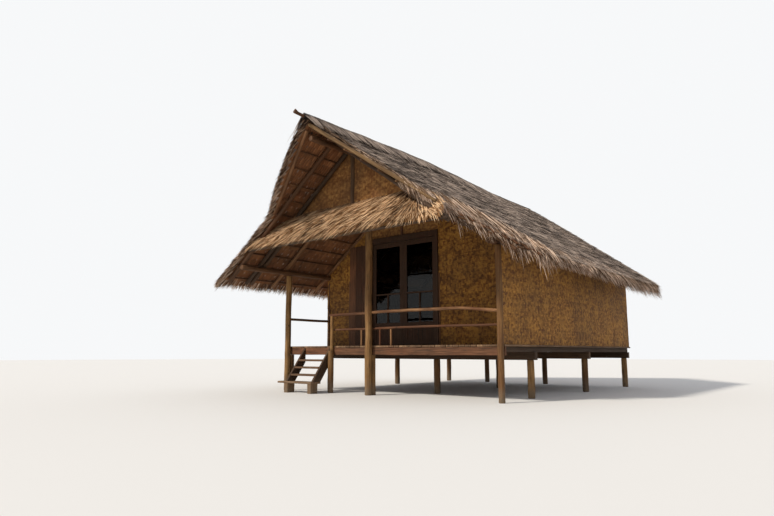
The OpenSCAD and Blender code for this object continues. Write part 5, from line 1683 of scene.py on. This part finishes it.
def on_skirt(x, down, lift):
    """A point of the skirt, whose plane runs from the gable's wall down to the front, plus ripple."""
    uneven = 0.014 * ripple(np.stack(np.broadcast_arrays(x, down), -1), 0.9, 7)
    flat = SKIRT_TOP + down[..., None] * skirt_down + (lift + uneven)[..., None] * skirt_off
    flat[..., 0] += x
    return flat


def skirt_width(side, down):
    """Width of the skirt on one side of the middle, out to where it meets the roof's underside."""
    level = SKIRT_TOP[2] - down * math.sin(SKIRT_ANGLE)
    return (RIDGE_Z - THATCH / COS[side] - level) / RISE[side] - SKIRT_GAP


def skirt_core():
    """The skirt's body: a slab from side to side, thinner than the solid, that ends above its lower edge."""
    down = np.linspace(0.0, SKIRT_LEN - 0.06, 17)[:, None]
    share = np.linspace(-1, 1, 57)
    x = share * np.where(share < 0, skirt_width(-1, down), skirt_width(1, down))
    down = np.broadcast_to(down, x.shape)
    spread = np.stack([x, down], -1)
    front = on_skirt(x, down, np.full(x.shape, -0.045))
    # The skirt's body is dark too, as painted shade inside the thatch
    return slab(front, on_skirt(x, down, np.full(x.shape, -SKIRT_T + 0.012)), spread * CORE_MAP, CORE_SHADE_TONE)


print("skirt:", round(SKIRT_LEN, 3), "long, at", round(math.degrees(SKIRT_ANGLE), 1), "degrees")

# %% [markdown]
# ### The skirt's leaves
#
# Rows of leaves lie on its face, and four more hang from its lower edge, one behind the other. A slow
# ripple moves whole tufts up and down together, because single leaves at random would make an even brush.

# %% Skirt leaves
# The fan in degrees, by a place across the skirt's upper edge
SKIRT_STOPS, SKIRT_FANS = (-2.2, -1.6, 0.6, 1.05, 1.4, 1.8), (-44, -36, -34, -22, 18, 50)
FACE_ROWS, FACE_DEPTH, FACE_SPACING = np.arange(0.14, SKIRT_LEN, 0.09), -0.04, 0.0125
FOOT_ROWS, FOOT_SPACING = SKIRT_LEN + np.array([-0.06, 0.0, 0.04, 0.08]), 0.0135
FOOT_DEPTHS = (-0.02, -0.03, -0.045, -0.06)


def skirt_leaves(rows, depth, spacing, seed, reach, droop):
    """Rows of leaves whose tips lie at rows down the skirt. The fan is the angle by which they turn to the
    right: they lean to the left nearly all along, and only at the right end swing round to meet the roof's
    fringe. reach and droop are the least and greatest length and fall of a leaf."""
    rng = np.random.default_rng(seed)
    half = skirt_width(1, SKIRT_LEN) + 0.08
    depth = np.broadcast_to(depth, np.shape(rows))
    places = np.arange(-half, half, spacing)
    down, x = (grid.ravel() for grid in np.meshgrid(rows, places, indexing="ij"))
    deep = np.repeat(depth, len(places))
    count = len(x)
    tuft = 0.035 * ripple(np.stack([x, 0 * x], -1), 0.16, seed)
    down, x = down + tuft + rng.normal(0, 0.03, count), x + rng.uniform(-0.008, 0.008, count)
    left = skirt_width(-1, down) + 0.02
    right = skirt_width(1, down) + 0.35 * np.clip(down - 0.1, 0, None)
    inside = np.abs(x) < np.where(x < 0, left, right)
    down, x, deep = down[inside], x[inside], deep[inside]
    count = len(x)
    length = rng.uniform(*reach, count)
    fan = np.radians(np.interp(x - 0.35 * down, SKIRT_STOPS, SKIRT_FANS)) + rng.normal(0, 0.10, count)
    fan = fan + 0.10 * ripple(np.stack([x, down], -1), 0.5, seed)
    start = np.maximum(down - length * np.cos(fan), 0.0)
    root = on_skirt(x - length * np.sin(fan) * 0.8, start, deep)
    way = turned(skirt_down, (1.0, 0.0, 0.0), fan)
    return leaves(root, way, skirt_off, length, rng.uniform(*LEAF_W, count), rng.uniform(0.02, 0.05, count),
                  rng.uniform(*droop, count), rng.normal(0, 0.02, count), rng.normal(0, 0.4, count), seed,
                  stark(rng.uniform(0, 1, count), 0.7))


skirt = joined([
    skirt_core(),
    skirt_leaves(FACE_ROWS, FACE_DEPTH, FACE_SPACING, 181, reach=(0.26, 0.44), droop=(0.0, 0.03)),
    skirt_leaves(FOOT_ROWS, FOOT_DEPTHS, FOOT_SPACING, 182, reach=(0.26, 0.42), droop=(0.03, 0.14)),
])
show("skirt_leaves", skirt, skirt_leaf, ["skirt_thatch"])

# %% [markdown]
# ## Floor and light
#
# The house stands on a plain pale floor under an even pale sky. One large soft lamp from high on the left
# in front stands for the sun, and is bright enough to model the leaves and the poles. A brighter sky would
# whiten the background too, but would also bleach the house, so what the camera sees of the sky is set
# apart from its light.

# %% Floor and light
GROUND_R, GROUND_SIDES = 60.0, 64
SUN_HIGH, SUN_ROUND, SUN_SOFT = 52, -22, 6  # degrees from overhead, degrees round, and its width in degrees

angle = np.arange(GROUND_SIDES) * 2 * math.pi / GROUND_SIDES
ground = bpy.data.meshes.new("ground")
rim = np.stack([GROUND_R * np.cos(angle), GROUND_R * np.sin(angle), np.zeros(GROUND_SIDES)], -1)
ground.from_pydata(rim.tolist(), [], [list(range(GROUND_SIDES))])
floor = bpy.data.objects.new("ground", ground)
bpy.context.scene.collection.objects.link(floor)
floor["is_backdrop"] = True
pale, tree, shader = open_material("pale floor")
shader.inputs["Base Color"].default_value = rgb(0.80, 0.79, 0.77)
shader.inputs["Roughness"].default_value = 0.95
ground.materials.append(pale)

sky = bpy.data.worlds.new("sky")
bpy.context.scene.world = sky
sky.use_nodes = True
tree = sky.node_tree
tree.nodes["Background"].inputs["Color"].default_value = rgb(0.92, 0.94, 1.0)
tree.nodes["Background"].inputs["Strength"].default_value = 0.55
seen = add(tree, "ShaderNodeBackground", {"Color": rgb(0.93, 0.94, 0.95), "Strength": 1.0})
path = add(tree, "ShaderNodeLightPath").outputs
shows = calc(tree, "MAXIMUM", path["Is Camera Ray"], path["Is Transmission Ray"])
shows = calc(tree, "MAXIMUM", shows, path["Is Glossy Ray"])
lit = tree.nodes["Background"].outputs[0]
both = add(tree, "ShaderNodeMixShader", {0: shows, 1: lit, 2: seen.outputs[0]})
tree.links.new(both.outputs[0], tree.nodes["World Output"].inputs["Surface"])

sun = bpy.data.lights.new("sun", "SUN")
sun.energy = 3.0
sun.angle = math.radians(SUN_SOFT)
sun.color = (1.0, 0.93, 0.82)
lamp = bpy.data.objects.new("sun", sun)
lamp.rotation_euler = (math.radians(SUN_HIGH), 0, math.radians(SUN_ROUND))
bpy.context.scene.collection.objects.link(lamp)

bpy.context.scene.view_settings.view_transform = "Standard"
print("sun's strength:", sun.energy)

# %% [markdown]
# ## Size
#
# The leaves and fringes may stand a little proud of the solids, and no more. They could be measured by hand
# in the viewport, but printed on each run the two boxes can be compared.

# %% Size
low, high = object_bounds()
print("past the solids, low side:", [round(a - b, 3) for a, b in zip(cad_low, low)],
      "high side:", [round(b - a, 3) for a, b in zip(cad_high, high)])
